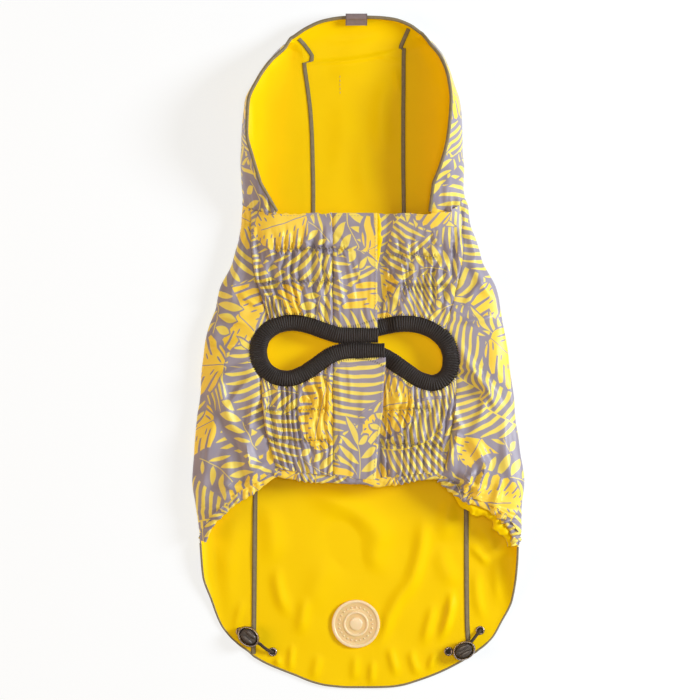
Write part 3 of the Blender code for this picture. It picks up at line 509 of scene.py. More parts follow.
def print_looks():
    """Leaves in two yellows on grey. Each kind is in cells of its own, and a thin line of the grey is
    kept round whatever lies over something else."""
    place = on_cloth()
    wobble = noise(place, 60.0, 1.0, 1)
    sway = [Wire.node("SeparateXYZ", {}, {0: wobble}, axis) for axis in (0, 1)]
    x, y = (part + (swing - 0.5) * 3.0 for part, swing in zip(millimetres(place, 0, 1), sway))
    blotch = noise(place, 34.0)
    ground = blend(blotch, colour(136, 130, 146), colour(163, 157, 173))
    pale = blend(blotch, colour(246, 226, 98), colour(238, 218, 100))
    warm = blend(blotch, colour(254, 222, 76), colour(248, 211, 64))
    layers = [
        (palm_frond, spread(x, y, 104, 100, 46, 0.5, 3.1), (50, 37, 5.6), pale),
        (palm_frond, spread(x + 52, y + 50, 104, 100, 31, 1.9, 7.7), (49, 36, 5.5), pale),
        (broad_leaf, spread(x + 14, y + 22, 92, 88, 33, 0.2, 1.9), (29,), warm),
        (leaf_sprig, spread(x + 5, y + 9, 78, 82, 29, 1.1, 5.3), (27, 19, 9.6), pale),
        (palm_frond, spread(x + 24, y + 78, 124, 112, 58, 0.9, 4.4), (54, 41, 5.8), pale),
        (leaf_sprig, spread(x + 44, y + 50, 104, 98, 37, 2.6, 2.4), (29, 20, 10.0), pale),
        (broad_leaf, spread(x + 58, y + 63, 116, 104, 41, 1.4, 9.2), (29,), warm),
    ]
    tint = ground
    for shape, (s, t), sizes, leaf in layers:
        outside, cleared = shape(s, t, *sizes)
        tint = blend((-cleared * 3).held(), tint, ground)
        tint = blend((0.5 - outside * 3).held(), tint, leaf)
    return {"Base Color": tint, "Roughness": 0.4, "Specular IOR Level": 0.4, "Sheen Weight": 0.1,
            "Normal": bumps(noise(place, 2400.0, 1.0), 0.15, 0.0002)}


yellow = material("yellow_lining", lining_looks)
printed = material("printed_cloth", print_looks)

back_seam_of = by_side(BACK_SEAM)
tail_edge_of = smooth(TAIL_EDGE, 1)


def tail_rise(x, y):
    """How far the cloth on the table stands up in folds, which leave the fittings flat."""
    waves = 1.7 * folds(TAIL_FOLDS, x, y) + 0.5 * mottle(4, x / 21 + 5, y / 26 + 40)
    for at_x, at_y, clear in FITTINGS:
        waves = waves * ease(clear, clear + 6, np.hypot(x - at_x, y - at_y))
    return np.maximum(waves, -LYING) * ease(FOLDS_FROM, FOLDS_FULL, y) + LYING


columns, rows = np.meshgrid(
    np.linspace(0, 1, 100), np.concatenate([np.linspace(0, 0.44, 100), np.linspace(0.45, 1, 24)])
)
x, y = patch(
    lambda y: -back_seam_of[LEFT](y) + SEAM_GAP, lambda y: back_seam_of[RIGHT](y) - SEAM_GAP,
    tail_edge_of, lambda x: NECK_ON_FLOOR + 0 * x,
)(columns, rows)
base = np.stack([x, y, CLOTH + 0 * x], axis=2)
back = cloth("back_panel_cloth", base, -1, -tail_rise(x, y) + LYING, ["back_panel"], uv_start=-75)

# The side panels -------------------------------------------------------------------------------------
# One on each side: from the back seam, round the side fold and over to the chest and belly. Elastic at
# the legs and the hem draws them into long soft folds.

SIDES = ((LEFT, "left"), (RIGHT, "right"))
OUTLINE = [  # y, left, right
    (120, 88.6, 80), (111, 88, 82.5), (93, 88.6, 85.5), (84, 90, 90), (66, 94.8, 95), (47, 105, 105),
    (29, 109, 108), (2, 116.6, 113), (-34, 120, 118), (-71, 124, 122), (-98, 125.7, 125.7),
    (-116, 123.4, 124.4), (-134, 121, 123), (-152, 119.6, 121.6), (-171, 118.2, 120.8), (-189, 112.2, 118),
    (-207, 105.2, 109), (-218, 97, 102.6), (-228, 84.6, 91.6),
]
TUBE = [  # y, crown of the top layer, height of the side fold, how far the side has turned up by it
    (120, 13, 5.5, 90), (104, 11, 5.2, 90), (60, 8, 4.8, 90), (0, 7.2, 4.8, 90), (-60, 7.8, 5, 90),
    (-100, 10, 5.4, 90), (-152, 11, 5.6, 90), (-180, 11, 5.4, 60), (-205, 11, 5, 22), (-228, 11, 5, 3),
]
FOLD_REACH, CROWN_POWER = 12.0, 5.0
FLOOR_U, FOLD_U = 0.3, 0.6  # where a side leaves the floor and where its fold is, across its grid
ROW_STEP, DEEPEST = 1.15, -0.7
EDGE_SHARE = 0.9999  # the top layer stops here, just before it would stand upright
CHEST_SEAM = [(113, 81, 77), (90, 81, 80), (71, 79.5, 79), (54, 77, 76), (24, 67, 68.5), (14, 63, 65)]
BELLY_SEAM = [(-14, 73.2, 74.4), (-40, 72.5, 74.2), (-60, 70, 70.6), (-78, 65, 67.8), (-94, 60.5, 64)]
CHEST_EDGE = 104
NECK_AT_FOLD = {LEFT: 110, RIGHT: 116}
THROAT = {LEFT: 61, RIGHT: 55}
CASING, HEM_LAP = 5.5, 0.3
LEG_LINE = {
    LEFT: [(14.4, 11.9), (0, 11.9), (-15, 12.2), (-26, 15.6), (-38, 19.8), (-51, 21.6), (-63.5, 18.4),
           (-72.5, 10.5), (-75.5, -0.5), (-72.5, -12), (-64, -19.6), (-52.5, -21.8), (-41.5, -18.2),
           (-30, -10.6), (-19.5, -3.6), (-8, -0.6), (6, -0.4), (19.3, -0.4)],
    RIGHT: [(-8, 12.6), (3, 14.2), (14, 17.2), (26, 20), (38, 20.8), (50, 18.6), (61, 12.6), (68.6, 3),
            (70.6, -8), (67.4, -19.4), (58, -25), (46.6, -22.6), (35.4, -15.4), (23.5, -7.2), (13, -2),
            (3, -0.6), (-8, -0.4)],
}
BINDING_WIDTH, BINDING_END_WIDTH, BINDING_TAPER, BINDING_TUCK, RIB_PITCH = 12.6, 11.0, 24, 0.7, 1.75
SIDE_HEM = {
    LEFT: [(-60.9, -95.4), (-75, -105), (-87, -112.5), (-99, -123), (-110, -134), (-115.6, -145)],
    RIGHT: [(63.5, -101), (72, -107), (81, -115), (91, -119), (101, -124), (109, -130.5), (114, -138),
            (116.6, -148)],
}
TAIL_GIRTH, TAIL_DROP = 1.94, 6.2
SIDE_FOLDS = {  # from x, y, to x, y, half width, rise, sideways bow
    LEFT: [
        (-104, -18, -90, -66, 3.6, 1.7, 3), (-90, -58, -80, -100, 3.2, 1.9, -2),
        (-84, 20, -108, 27, 2.6, 1, 1), (-86, 6, -112, 2, 2.8, 1, -1), (-82, -12, -106, -24, 3, 1.3, 2),
        (-80, -20, -98, -46, 2.6, 1.1, 2), (-86, 70, -96, 34, 3.4, 1.1, 2), (-84, 98, -90, 66, 3, 1, 0),
        (-106, -46, -112, -92, 4.6, 1.2, 2), (-99, -78, -101, -118, 3.6, 1.2, -2),
        (-78, -34, -82, -66, 2.2, 1.1, 1), (-76, 34, -90, 44, 2.2, 0.9, 0),
        (-114, -70, -118, -128, 3.4, 0.8, 0), (-95, 8, -104, -34, 7, 0.9, 2),
        (-70, -84, -84, -104, 2.4, 1.3, 1), (-101, -101, -90, -110, 1.7, -1, 1),
        (-103, -98, -92, -107, 1.6, 1, 1),
    ],
    RIGHT: [
        (76, 6, 106, -40, 3.4, 2, 3), (90, -20, 104, -44, 2, 1.4, 0), (97, -22, 88, -60, 2.6, 1.4, -2),
        (72, -34, 78, -60, 2.4, 1.8, 2), (78, -56, 70, -96, 2.6, 2, 2), (88, -88, 78, -112, 2.6, 2.2, 0),
        (98, -84, 88, -116, 2.4, 2, 1), (108, -96, 100, -124, 2.4, 1.7, 0), (84, 72, 100, 40, 3.4, 1.3, 2),
        (80, 96, 90, 66, 2.8, 1.2, 0), (78, 22, 102, 26, 2.6, 1.1, 1), (80, 34, 92, 52, 2.4, 1, 0),
        (84, -66, 96, -92, 3.4, 1.5, -2), (110, -52, 116, -104, 4, 1.2, 2), (76, -90, 90, -106, 2, 1.5, 0),
        (102, 12, 110, -28, 5, 0.9, 2), (74, -12, 92, -16, 2.4, 1.2, 1),
    ],
}
TAIL_SIDE_FOLDS = {  # the same on the turned-up sides of the tail, seen from inside
    LEFT: [(-91, -126, -97, -172, 7, 1, 2), (-104, -150, -98, -196, 6, 0.8, -2),
           (-88, -190, -94, -214, 3, 0.9, 0)],
    RIGHT: [(86, -148, 99, -162, 3.2, 1.8, 0), (92, -132, 104, -156, 5, 1.2, -2),
            (90, -168, 95, -204, 4, 1.3, 2), (104, -160, 106, -192, 4, 0.9, 0)],
}


def run_along(points):
    """How far along a path each of its points lies."""
    return np.concatenate([[0], np.cumsum(np.linalg.norm(np.diff(points, axis=0), axis=1))])


def path_through(points, count):
    """Evenly spaced points of a smooth curve through the given ones."""
    points = np.array(points, float)
    chord = run_along(points)
    tangents = np.gradient(points, chord, axis=0)
    at = np.linspace(0, chord[-1], 40 * len(points))
    i = np.clip(np.searchsorted(chord, at) - 1, 0, len(points) - 2)
    span = (chord[i + 1] - chord[i])[:, None]
    t = (at - chord[i])[:, None] / span
    fine = curve_between(t, span, points[i], points[i + 1], tangents[i], tangents[i + 1])
    along = run_along(fine)
    wanted = np.linspace(0, along[-1], count)
    return np.stack([np.interp(wanted, along, fine[:, axis]) for axis in range(points.shape[1])], axis=1)


def length_of(points):
    return float(np.linalg.norm(np.diff(points, axis=0), axis=1).sum())


def side_columns(floor, turn, over):
    """Places across a side, from its seam on the floor to its edge, with a count for each part."""
    return np.concatenate([np.linspace(0, FLOOR_U, floor)[:-1], np.linspace(FLOOR_U, FOLD_U, turn)[:-1],
                           np.linspace(FOLD_U, 1, over)])


def unit(vectors):
    return vectors / np.linalg.norm(vectors, axis=-1)[..., None]


def side_normals(points):
    """Unit normals of a flat path, to the right of the way it runs."""
    along = unit(np.gradient(points, axis=0))
    return np.stack([along[:, 1], -along[:, 0]], axis=1)


crown_of, lift_of, turn_of = (smooth(TUBE, column) for column in (1, 2, 3))
outline_of, chest_seam_of, belly_seam_of = map(by_side, (OUTLINE, CHEST_SEAM, BELLY_SEAM))


def reach(side, y):
    """How far the inside face reaches to a side."""
    return outline_of[side](y) - CLOTH


def stand(side, y):
    """How much higher and wider the tail's right wall stands, just below the hem that pulls it up."""
    return 1 + 1.1 * ease(-143, -158, y) * ease(-206, -168, y) * (side == RIGHT)


def floor_edge(side, y):
    return reach(side, y) - FOLD_REACH * stand(side, y) * np.sin(np.radians(turn_of(y)))


def over_fold(y, rise, share):
    puff = 1 + 0.25 * bell(share - 0.75, 0.2)
    return CLOTH + lift_of(y) + crown_of(y) * rise * puff


def section(side, girth, y):
    """Points of the inside face. Girth runs from 0 at the middle of the back, by 1 where the side
    leaves the floor and 2 at the side fold, to 3 at the middle of the top layer."""
    girth, y = np.broadcast_arrays(np.asarray(girth, float), np.asarray(y, float))
    turn = np.radians(turn_of(y)) * (np.clip(girth, 1, 2) - 1)
    over = np.clip(girth - 2, 0, 1) * math.pi / 2
    share = np.maximum(np.cos(over), 1e-6) ** (2 / CROWN_POWER)
    out = FOLD_REACH * stand(side, y) * np.sin(turn)
    x = np.where(girth <= 2, floor_edge(side, y) * np.minimum(girth, 1) + out, share * reach(side, y))
    low = CLOTH + lift_of(y) * stand(side, y) * (1 - np.cos(turn))
    z = np.where(girth <= 2, low, over_fold(y, np.sin(over), share))
    return np.stack([side * x, y, z], axis=-1)


def girth_on_top(side, across, y):
    share = np.minimum(np.abs(across) / reach(side, y), EDGE_SHARE)
    return 2 + np.arccos(share ** (CROWN_POWER / 2)) / (math.pi / 2)


def neck_line(side, girth):
    throat = girth_on_top(side, THROAT[side], CHEST_EDGE)
    low = NECK_ON_FLOOR + (NECK_AT_FOLD[side] - NECK_ON_FLOOR) * ease(0.5, 2, girth)
    high = NECK_AT_FOLD[side] + (CHEST_EDGE - NECK_AT_FOLD[side]) * ease(2, throat, girth)
    return np.where(girth <= 2, low, high)


def neck_pucker(side, x, beyond):
    """How the gathered neck seam puckers the cloth; beyond it on the hood, and negative below it."""
    rise = mottle(50 + side, x / 3.0, beyond / 15 + 20) + 0.4 * mottle(55 + side, x / 1.5, beyond / 7 + 20)
    return 3.3 * rise * np.exp(-np.abs(beyond) / 8) + seam_dip(beyond)


def leg_binding(side):
    """The middle line, side normals and half widths of one elastic leg binding."""
    count = 2 * round(length_of(path_through(LEG_LINE[side], 200)) / RIB_PITCH) + 1
    line = path_through(LEG_LINE[side], count)
    along = np.linspace(0, length_of(line), count)
    taper = ease(0, BINDING_TAPER, np.minimum(along, along[-1] - along))
    half = (BINDING_END_WIDTH + (BINDING_WIDTH - BINDING_END_WIDTH) * taper) / 2
    return line, side_normals(line), half


def leg_edges(side):
    """The cloth's edge round a leg opening, tucked under the binding: y over x above and below it, and
    x over y at its far side."""
    line, normals, half = leg_binding(side)
    outer = line + normals * (half - BINDING_TUCK)[:, None] * -side
    far = int(np.argmax(outer[:, 0] * side))
    top = int(np.argmax(outer[:, 1]))
    bottom = int(np.argmin(outer[:, 1]))
    above = outer[: far + 1][np.argsort(outer[: far + 1, 0])].T
    below = outer[far:][np.argsort(outer[far:, 0])].T
    far_side = outer[top : bottom + 1][::-1].T
    return (lambda x: np.interp(x, *above), lambda x: np.interp(x, *below),
            lambda y: np.interp(y, *far_side[::-1]))


def seam_dip(distance):
    """The cloth turns in at a seam."""
    return -1.1 * bell(distance, 0.9)


def meets_leg(side, seam, heights):
    """The first of the heights where a seam meets the edge of the leg opening."""
    return float(heights[np.argmax(side * leg_edges(side)[2](heights) >= seam(heights))])


tail_corner = {}
for side, word in SIDES:
    beside_leg = leg_edges(side)[2]
    line = path_through(SIDE_HEM[side], 60)
    hem = line + side_normals(line) * (CASING - HEM_LAP) * -side
    order = np.argsort(hem[:, 1])
    chest_corner = meets_leg(side, chest_seam_of[side], np.arange(60, -50, -0.05))
    belly_corner = meets_leg(side, belly_seam_of[side], np.arange(-50, 60, 0.05))
    hem_top, hem_end, tail_end = float(hem[0, 1]), SIDE_HEM[side][-1][1] + CASING, OUTLINE[-1][0] + 3
    corners = [CHEST_EDGE, chest_corner, belly_corner, hem_top, hem_end, tail_end]
    spans = [(a, b, max(int((a - b) / ROW_STEP), 2)) for a, b in zip(corners, corners[1:])]
    levels = np.concatenate([np.linspace(*span, endpoint=False) for span in spans] + [[tail_end]])[:, None]
    last = np.select(
        [levels >= chest_corner, levels >= belly_corner, levels > hem_top, levels >= hem_end],
        [girth_on_top(side, chest_seam_of[side](levels) + SEAM_GAP, levels),
         girth_on_top(side, beside_leg(levels), levels),
         girth_on_top(side, belly_seam_of[side](levels) + SEAM_GAP, levels),
         girth_on_top(side, np.interp(levels, hem[order, 1], hem[order, 0]), levels)],
        TAIL_GIRTH,
    )

    def towards_neck(girth, level):
        share = np.clip((level - chest_corner) / (CHEST_EDGE - chest_corner), 0, 1)
        risen = chest_corner + (neck_line(side, girth) - chest_corner) * share
        return np.where(level > chest_corner, risen, level)

    drop = TAIL_DROP * ease(-205, tail_end, levels)
    floor_y = towards_neck(np.full_like(levels, 0.45), levels) - drop
    start = (back_seam_of[side](floor_y) + SEAM_GAP) / floor_edge(side, floor_y)
    halfway = np.where(last > 2, 2.0, 1 + 0.6 * (last - 1))
    u = side_columns(16, 14, 54)[None, :]
    girth = np.where(u <= FLOOR_U, start + (1 - start) * u / FLOOR_U,
                     np.where(u <= FOLD_U, 1 + (halfway - 1) * (u - FLOOR_U) / (FOLD_U - FLOOR_U),
                              halfway + (last - halfway) * (u - FOLD_U) / (1 - FOLD_U)))
    y = towards_neck(girth, levels + 0 * u) - drop * (1 - u) ** 1.6
    base = section(side, girth, y)
    tail_corner[side] = base[-1]
    x = base[:, :, 0]
    arc = arc_across(base)
    to_edge = arc[:, -1:] - arc
    on_top = ease(1.7, 2.15, girth) * (levels > hem_end)
    height = 2.4 * folds(SIDE_FOLDS[side], x, y) + 0.9 * mottle(20 + side, x / 10, y / 17)
    height += 0.9 * (0.35 - np.abs(mottle(30 + side, y / 3.6 + x / 30, to_edge / 16))) * np.exp(-to_edge / 9)
    bunched = 1.9 if side == RIGHT else 1.2
    ruffle = mottle(40 + side, (y + side * x * 0.3) / 4.2, to_edge / 20)
    ruffle += 0.5 * mottle(45 + side, (y + side * x * 0.3) / 1.9, to_edge / 9)
    height += bunched * ruffle * np.exp(-to_edge / 13) * (levels < hem_top) * (levels > hem_end)
    height += neck_pucker(side, x, y - neck_line(side, girth))
    height = np.maximum(height, DEEPEST) * on_top
    height += (1.0 if side == LEFT else 0.6) * seam_dip(to_edge) * (levels > hem_top) * (girth > 2)
    tail = folds(TAIL_SIDE_FOLDS[side], x, y) * (1 - ease(1.3, 1.9, girth))
    tail = tail * ease(FOLDS_FULL, FOLDS_FULL - 12, y)
    made = cloth(f"side_panel_{word}_cloth", base, side, height - tail, [f"side_panel_{word}"],
                 uv_start=side * 80.0, uv_side=side)

# The chest and belly pieces --------------------------------------------------------------------------
# Four gathered pieces of the printed cloth. Elastic thread sewn across them in short rows draws them
# up, so the cloth stands in uneven upright folds. The left half laps over the right one.

UNDERLAP_EDGE, UNDERLAP_DROP, UNDERLAP_RAMP = -12, 3.3, (21, 31)
PLACKET_SEAM = -19
BELLY_HEM = [(-60, -95), (-42, -97.5), (-24, -99.5), (9, -102.6), (30, -101), (45, -98.6), (61, -99)]  # x, y
GATHERED = {  # side, folds, depth, start across it, turn and start of its print, then its elastic rows
    # as y, from x, to x, and a slope
    "chest_left": (LEFT, 8, 1.6, 0.0, 8, -175, [(77, -63, -17, 0.02), (52, -73, -17, 0.03)]),
    "chest_right": (RIGHT, 7, 1.5, 0.36, -14, 72, [(72, 19, 61, -0.05), (49, 26, 67, -0.03)]),
    "belly_left": (LEFT, 9, 1.8, 0.0, 5, 169, [(-45, -73, -24, 0.02), (-68, -69, -20, -0.02)]),
    "belly_right": (RIGHT, 9, 1.7, 0.36, 21, 266, [(-45, 19, 55, 0.03), (-71.5, 16, 63, 0.02)]),
}
CUTS = {  # width, length and area of each as it was cut, in metres
    "chest_left": (0.078, 0.088, 0.0062), "chest_right": (0.112, 0.094, 0.0092),
    "belly_left": (0.068, 0.086, 0.0052), "belly_right": (0.108, 0.092, 0.0084),
}
ROW_PITCH, ROW_REACH, GATHER = 3.0, 3.0, 1.4
belly_hem_of = smooth(BELLY_HEM, 1)


def drawn_up(x, y, rows, seed):
    """The small crinkles along rows of elastic thread."""
    height = 0 * x
    for at, from_x, to_x, slope in rows:
        off = y - at - slope * (x - (from_x + to_x) / 2) - 0.8 * mottle(85 + seed, x / 9, at)
        inside = ease(from_x - 3, from_x + 2, x) * (1 - ease(to_x - 2, to_x + 3, x))
        slant = 0.1 * off + 1.2 * mottle(90 + seed, x / 6, at + np.sign(off) * 3)
        pinch = np.cos(math.tau * (x / ROW_PITCH + slant)) * (1 + 0.6 * mottle(95 + seed, x / 4, at))
        height += inside * (1.1 * pinch * np.exp(-np.abs(off) / ROW_REACH) - 1.3 * bell(off, 1))
        height += inside * 0.8 * bell(np.abs(off) - 3.0, 1.6)
    return height


def underlap(x):
    return UNDERLAP_DROP * (1 - ease(*UNDERLAP_RAMP, x))


def top_layer(x, y, drop=0.0):
    out = np.where(x < 0, reach(LEFT, y), reach(RIGHT, y))
    share = np.minimum(np.abs(x) / out, EDGE_SHARE)
    return np.stack([x, y, over_fold(y, np.sqrt(1 - share**CROWN_POWER), share) - drop], axis=-1)


def lapped(side, x, y):
    """The top layer on one half. The right half's edge lies lower, under the left one's."""
    return top_layer(x, y, underlap(x) if side == RIGHT else 0.0)


def neck_over(side):
    return lambda x: np.where(
        side * x < THROAT[side], CHEST_EDGE - 0.5 + 0.7 * mottle(119, x / 3.4, 0 * x),
        neck_line(side, girth_on_top(side, x, CHEST_EDGE + 0 * x)),
    )


def hem_line(x):
    return belly_hem_of(x) + CASING - HEM_LAP


edges_of = {side: leg_edges(side) for side in (LEFT, RIGHT)}
for seed, (name, values) in enumerate(GATHERED.items()):
    side, count, depth, start, print_turn, print_start, elastics = values
    chest = name.startswith("chest")
    seam = chest_seam_of[side] if chest else belly_seam_of[side]
    if side == LEFT:
        ends = (lambda y: -seam(y) + SEAM_GAP, lambda y: PLACKET_SEAM - SEAM_GAP + 0 * y)
    else:
        ends = (lambda y: UNDERLAP_EDGE + 0 * y, lambda y: seam(y) - SEAM_GAP)
    above, below, _ = edges_of[side]
    place = patch(*ends, above, neck_over(side)) if chest else patch(*ends, hem_line, below)
    rows, columns = np.broadcast_arrays(*shares(104, 108))
    x, y = place(columns, rows)
    base = lapped(side, x, y)
    share = np.clip((columns - start) / (1 - start), 0, 1)
    phase = count * (share + 0.035 * np.sin(math.pi * share) * np.sin(9.2 * share + count))
    phase = phase + 0.45 * mottle(60 + seed, share * 4, y / 19) + 0.1 * mottle(65 + seed, share * 11, y / 9)
    deep = 0.62 + 0.45 * mottle(75 + seed, phase / 1.7, y / 26)
    fade = 1 - ease(0.66, 0.94, rows) if chest else 0.75 + 0.25 * np.sin(math.pi * rows)
    active = ease(start - 0.02, start + 0.08, columns) if start else 1.0
    broad = 2.1 * depth * deep * (0.5 - 0.5 * np.cos(math.tau * phase)) ** 0.8
    slim = 1.0 * (1 - 2.2 * np.abs(mottle(70 + seed, (x + 0.2 * (y - 40)) / 3.6, y / 15)))
    tiny = 0.22 * mottle(80 + seed, x / 1.5, y / 5)
    height = (broad + slim + tiny) * fade
    height += drawn_up(x, y, elastics, seed)
    arc = arc_across(base)
    height = np.maximum(height, DEEPEST) * active
    height += 0.25 * mottle(100 + seed, x / 8, y / 12)
    height += seam_dip(arc[:, -1:] - arc)
    if side == LEFT:
        height += seam_dip(arc)
    made = cloth(f"{name}_cloth", base, 1, height, [name], wall=0.6,
                 uv_turn=print_turn, print_at=(print_start + GATHER * arc, y + 18))
    wide, long, area = CUTS[name]

# The plackets ----------------------------------------------------------------------------------------
# Two plain strips of doubled cloth down the left half's edge, above and below the legs. They cover the
# closure, and lie flatter than the gathered cloth beside them.

PLACKET_EDGE = [(104, 14.6), (20, 14.6), (-7, 21), (-25, 19.5), (-42, 19), (-68, 15.7), (-99, 13)]  # y, x
PLACKET_FOLDS = [  # from x, y, to x, y, half width, rise, sideways bow
    (-15, 66, -10, 24, 2.0, 0.9, 1), (-7, 50, -4, 20, 1.8, 0.7, -1), (3, 78, 5, 40, 2.6, 0.5, 1),
    (10, 60, 9, 22, 1.8, 0.6, 0), (-14, -14, -12, -50, 2.0, 0.9, 1), (-8, -10, -6, -40, 1.6, 0.6, -1),
    (-13, -56, -15, -92, 1.8, 0.8, 0), (4, -30, 7, -62, 3.0, 0.5, 2), (12, -70, 9, -98, 1.8, 0.6, 0),
    (-4, -74, -5, -98, 1.6, 0.6, 0), (2, 18, 1, 40, 1.6, 0.5, 0), (-2, -98, 0, -84, 1.4, 0.5, 0),
    (-18, 74, -9, 30, 1.8, 1.2, 1), (-10, 76, -1, 26, 1.7, 1.0, -1), (-17, 44, -13, 20, 1.4, 1.1, 0),
    (-5, 76, 4, 48, 1.6, 0.7, 1), (5, 40, 8, 20, 1.6, 0.8, 0), (-18, 88, -8, 79, 1.8, -0.6, 0),
]
placket_edge_of = smooth(PLACKET_EDGE, 1)
above, below, _ = edges_of[LEFT]
PLACKETS = {  # lower and upper edge, start of the print, elastic rows
    "placket_chest": (above, lambda x: CHEST_EDGE + 0 * x, 372, [(77, -22, -7, -0.02)]),
    "placket_belly": (hem_line, below, -77, []),
}
for seed, (name, (low, high, start, elastics)) in enumerate(PLACKETS.items()):
    rows, columns = np.broadcast_arrays(*shares(110, 46))
    x, y = patch(lambda y: PLACKET_SEAM + SEAM_GAP + 0 * y, placket_edge_of, low, high)(columns, rows)
    base = top_layer(x, y)
    arc = arc_across(base)
    height = 0.3 + 1.2 * folds(PLACKET_FOLDS, x, y) + drawn_up(x, y, elastics, 4 + seed)
    height += 0.25 * mottle(110 + seed, x / 7, y / 11)
    height += seam_dip(arc)
    height += 0.3 * mottle(112 + seed, x / 2.4, y / 8) * np.exp(-arc / 5)
    height -= 0.5 * bell(arc[:, -1:] - arc, 0.7)
    made = cloth(f"{name}_cloth", base, 1, height, [name], uv_start=start, wall=0.9)

# Near the neck the facing has turned out over the edge, so its yellow shows.
rows = np.linspace(60, 103.4, 90)[:, None]
across = np.linspace(0, 1, 9)[None, :]
wide = 4.4 * ease(60, 84, rows) * (1 - 0.35 * ease(92, 104, rows)) + 0.2
x = placket_edge_of(rows) - 0.7 + (wide + 0.7) * across + 0.4 * mottle(114, rows / 7, across * 1.2)
base = top_layer(x, rows + 0 * x, 0.9 + 1.3 * across)
height = -0.8 * np.sin(math.pi * across) - 0.35 * mottle(115, rows / 4, across * 1.5)
cloth("placket_turned_facing", base, -1, height, [], uv_start=290, wall=0.6)

# The leg bindings ------------------------------------------------------------------------------------
# Wide black elastic folded over the edge of each leg opening. Its ribs stand across the band, closer
# together on the inside of a bend.


POINT_VALUES = ("across", "up", "size")  # what each point carries


def repeat_tree():
    """Sets a small shape on every point, with its X and Z axes along the point's own directions."""
    tree = bpy.data.node_groups.new("repeat_shape", "GeometryNodeTree")
    sockets = {"Geometry": "Geometry", "Shape": "Object", "Size": "Float", "Finish": "Material"}
    for name, kind in sockets.items():
        tree.interface.new_socket(name, in_out="INPUT", socket_type="NodeSocket" + kind)
    tree.interface.new_socket("Geometry", in_out="OUTPUT", socket_type="NodeSocketGeometry")

    def node(kind, settings, inputs):
        return new_node(tree, kind, settings, inputs)

    given = node("NodeGroupInput", {}, {})
    read = {}
    for name in POINT_VALUES:
        value = node("GeometryNodeInputNamedAttribute", {"data_type": "FLOAT_VECTOR"}, {"Name": name})
        read[name] = value.outputs[0]
    shape = node("GeometryNodeObjectInfo", {}, {"Object": given.outputs["Shape"]})
    first = node("FunctionNodeAlignRotationToVector", {"axis": "X"}, {"Vector": read["across"]})
    both = node("FunctionNodeAlignRotationToVector", {"axis": "Z", "pivot_axis": "X"},
                {"Rotation": first.outputs[0], "Vector": read["up"]})
    scale = node("ShaderNodeVectorMath", {"operation": "SCALE"},
                 {0: read["size"], "Scale": given.outputs["Size"]})
    set_out = node("GeometryNodeInstanceOnPoints", {}, {
        "Points": given.outputs["Geometry"], "Instance": shape.outputs["Geometry"],
        "Rotation": both.outputs[0], "Scale": scale.outputs[0],
    })
    real = node("GeometryNodeRealizeInstances", {}, {"Geometry": set_out.outputs[0]})
    finish = node("GeometryNodeSetMaterial", {},
                  {"Geometry": real.outputs[0], "Material": given.outputs["Finish"]})
    node("NodeGroupOutput", {}, {"Geometry": finish.outputs[0]})
    return tree


repeat = repeat_tree()


def repeated(name, shape, points, across, up, sizes, finish, stands_for=()):
    """One piece made of a shape repeated at the points. Everything is in millimetres."""
    carrier_mesh = bpy.data.meshes.new(name + "_points")
    carrier_mesh.from_pydata((np.asarray(points) * MM).tolist(), [], [])
    for word, values in zip(POINT_VALUES, (across, up, sizes)):
        kept = carrier_mesh.attributes.new(word, "FLOAT_VECTOR", "POINT")
        kept.data.foreach_set("vector", np.asarray(values, float).ravel())
    carrier, one = add(name + "_points", carrier_mesh), add(name + "_shape", shape)
    modifier = carrier.modifiers.new("repeat", "NODES")
    modifier.node_group = repeat
    inputs = {item.name: item.identifier for item in repeat.interface.items_tree if item.in_out == "INPUT"}
    modifier[inputs["Shape"]] = one
    modifier[inputs["Size"]] = 1.0
    modifier[inputs["Finish"]] = finish
    graph = bpy.context.evaluated_depsgraph_get()
    mesh = bpy.data.meshes.new_from_object(carrier.evaluated_get(graph), depsgraph=graph)
    carrier.modifiers.remove(modifier)
    for part in (carrier, one):
        bpy.data.objects.remove(part, do_unlink=True)
    mesh.name = name
    for word in POINT_VALUES:
        if word in mesh.attributes:
            mesh.attributes.remove(mesh.attributes[word])
    return put(name, mesh, stands_for)


def lofted(name, rings):
    """A mesh from rings of points in millimetres, one after another, closed at both ends."""
    rings = np.asarray(rings, float)
    count, sides = rings.shape[:2]
    faces = []
    for ring in range(count - 1):
        for k in range(sides):
            a, b = ring * sides + k, ring * sides + (k + 1) % sides
            faces.append((a, b, b + sides, a + sides))
    faces.append(tuple(reversed(range(sides))))
    faces.append(tuple(range((count - 1) * sides, count * sides)))
    mesh = bpy.data.meshes.new(name)
    mesh.from_pydata((rings.reshape(-1, 3) * MM).tolist(), [], faces)
    return mesh


def bar(name, sides, steps, section_at):
    """A bowed bar of unit length. section_at gives the half width, the half height and the height of
    its middle, at a place along it from -1 to 1."""
    angle = np.linspace(0, math.tau, sides, endpoint=False)
    rings = []
    for at in np.linspace(-1, 1, steps)[::-1]:
        wide, thick, arch = section_at(at)
        ring = [0 * angle + at * 0.5, wide * np.cos(angle), arch + thick * np.sin(angle)]
        rings.append(np.stack(ring, axis=1))
    return lofted(name, rings)


def beside(line, normals, out):
    """x and y of a band of points along a line, each as far out from it as out says."""
    xy = line[:, None, :] + normals[:, None, :] * out[:, :, None]
    return xy[:, :, 0], xy[:, :, 1]


def elastic_looks():
    place = on_object()
    return {
        "Base Color": blend(noise(place, 90.0), colour(24, 19, 19), colour(42, 35, 34)),
        "Roughness": 0.62,
        "Normal": bumps(noise(place, 1500.0), 0.5),
        "Sheen Weight": 0.17,
        "Sheen Roughness": 0.4,
    }


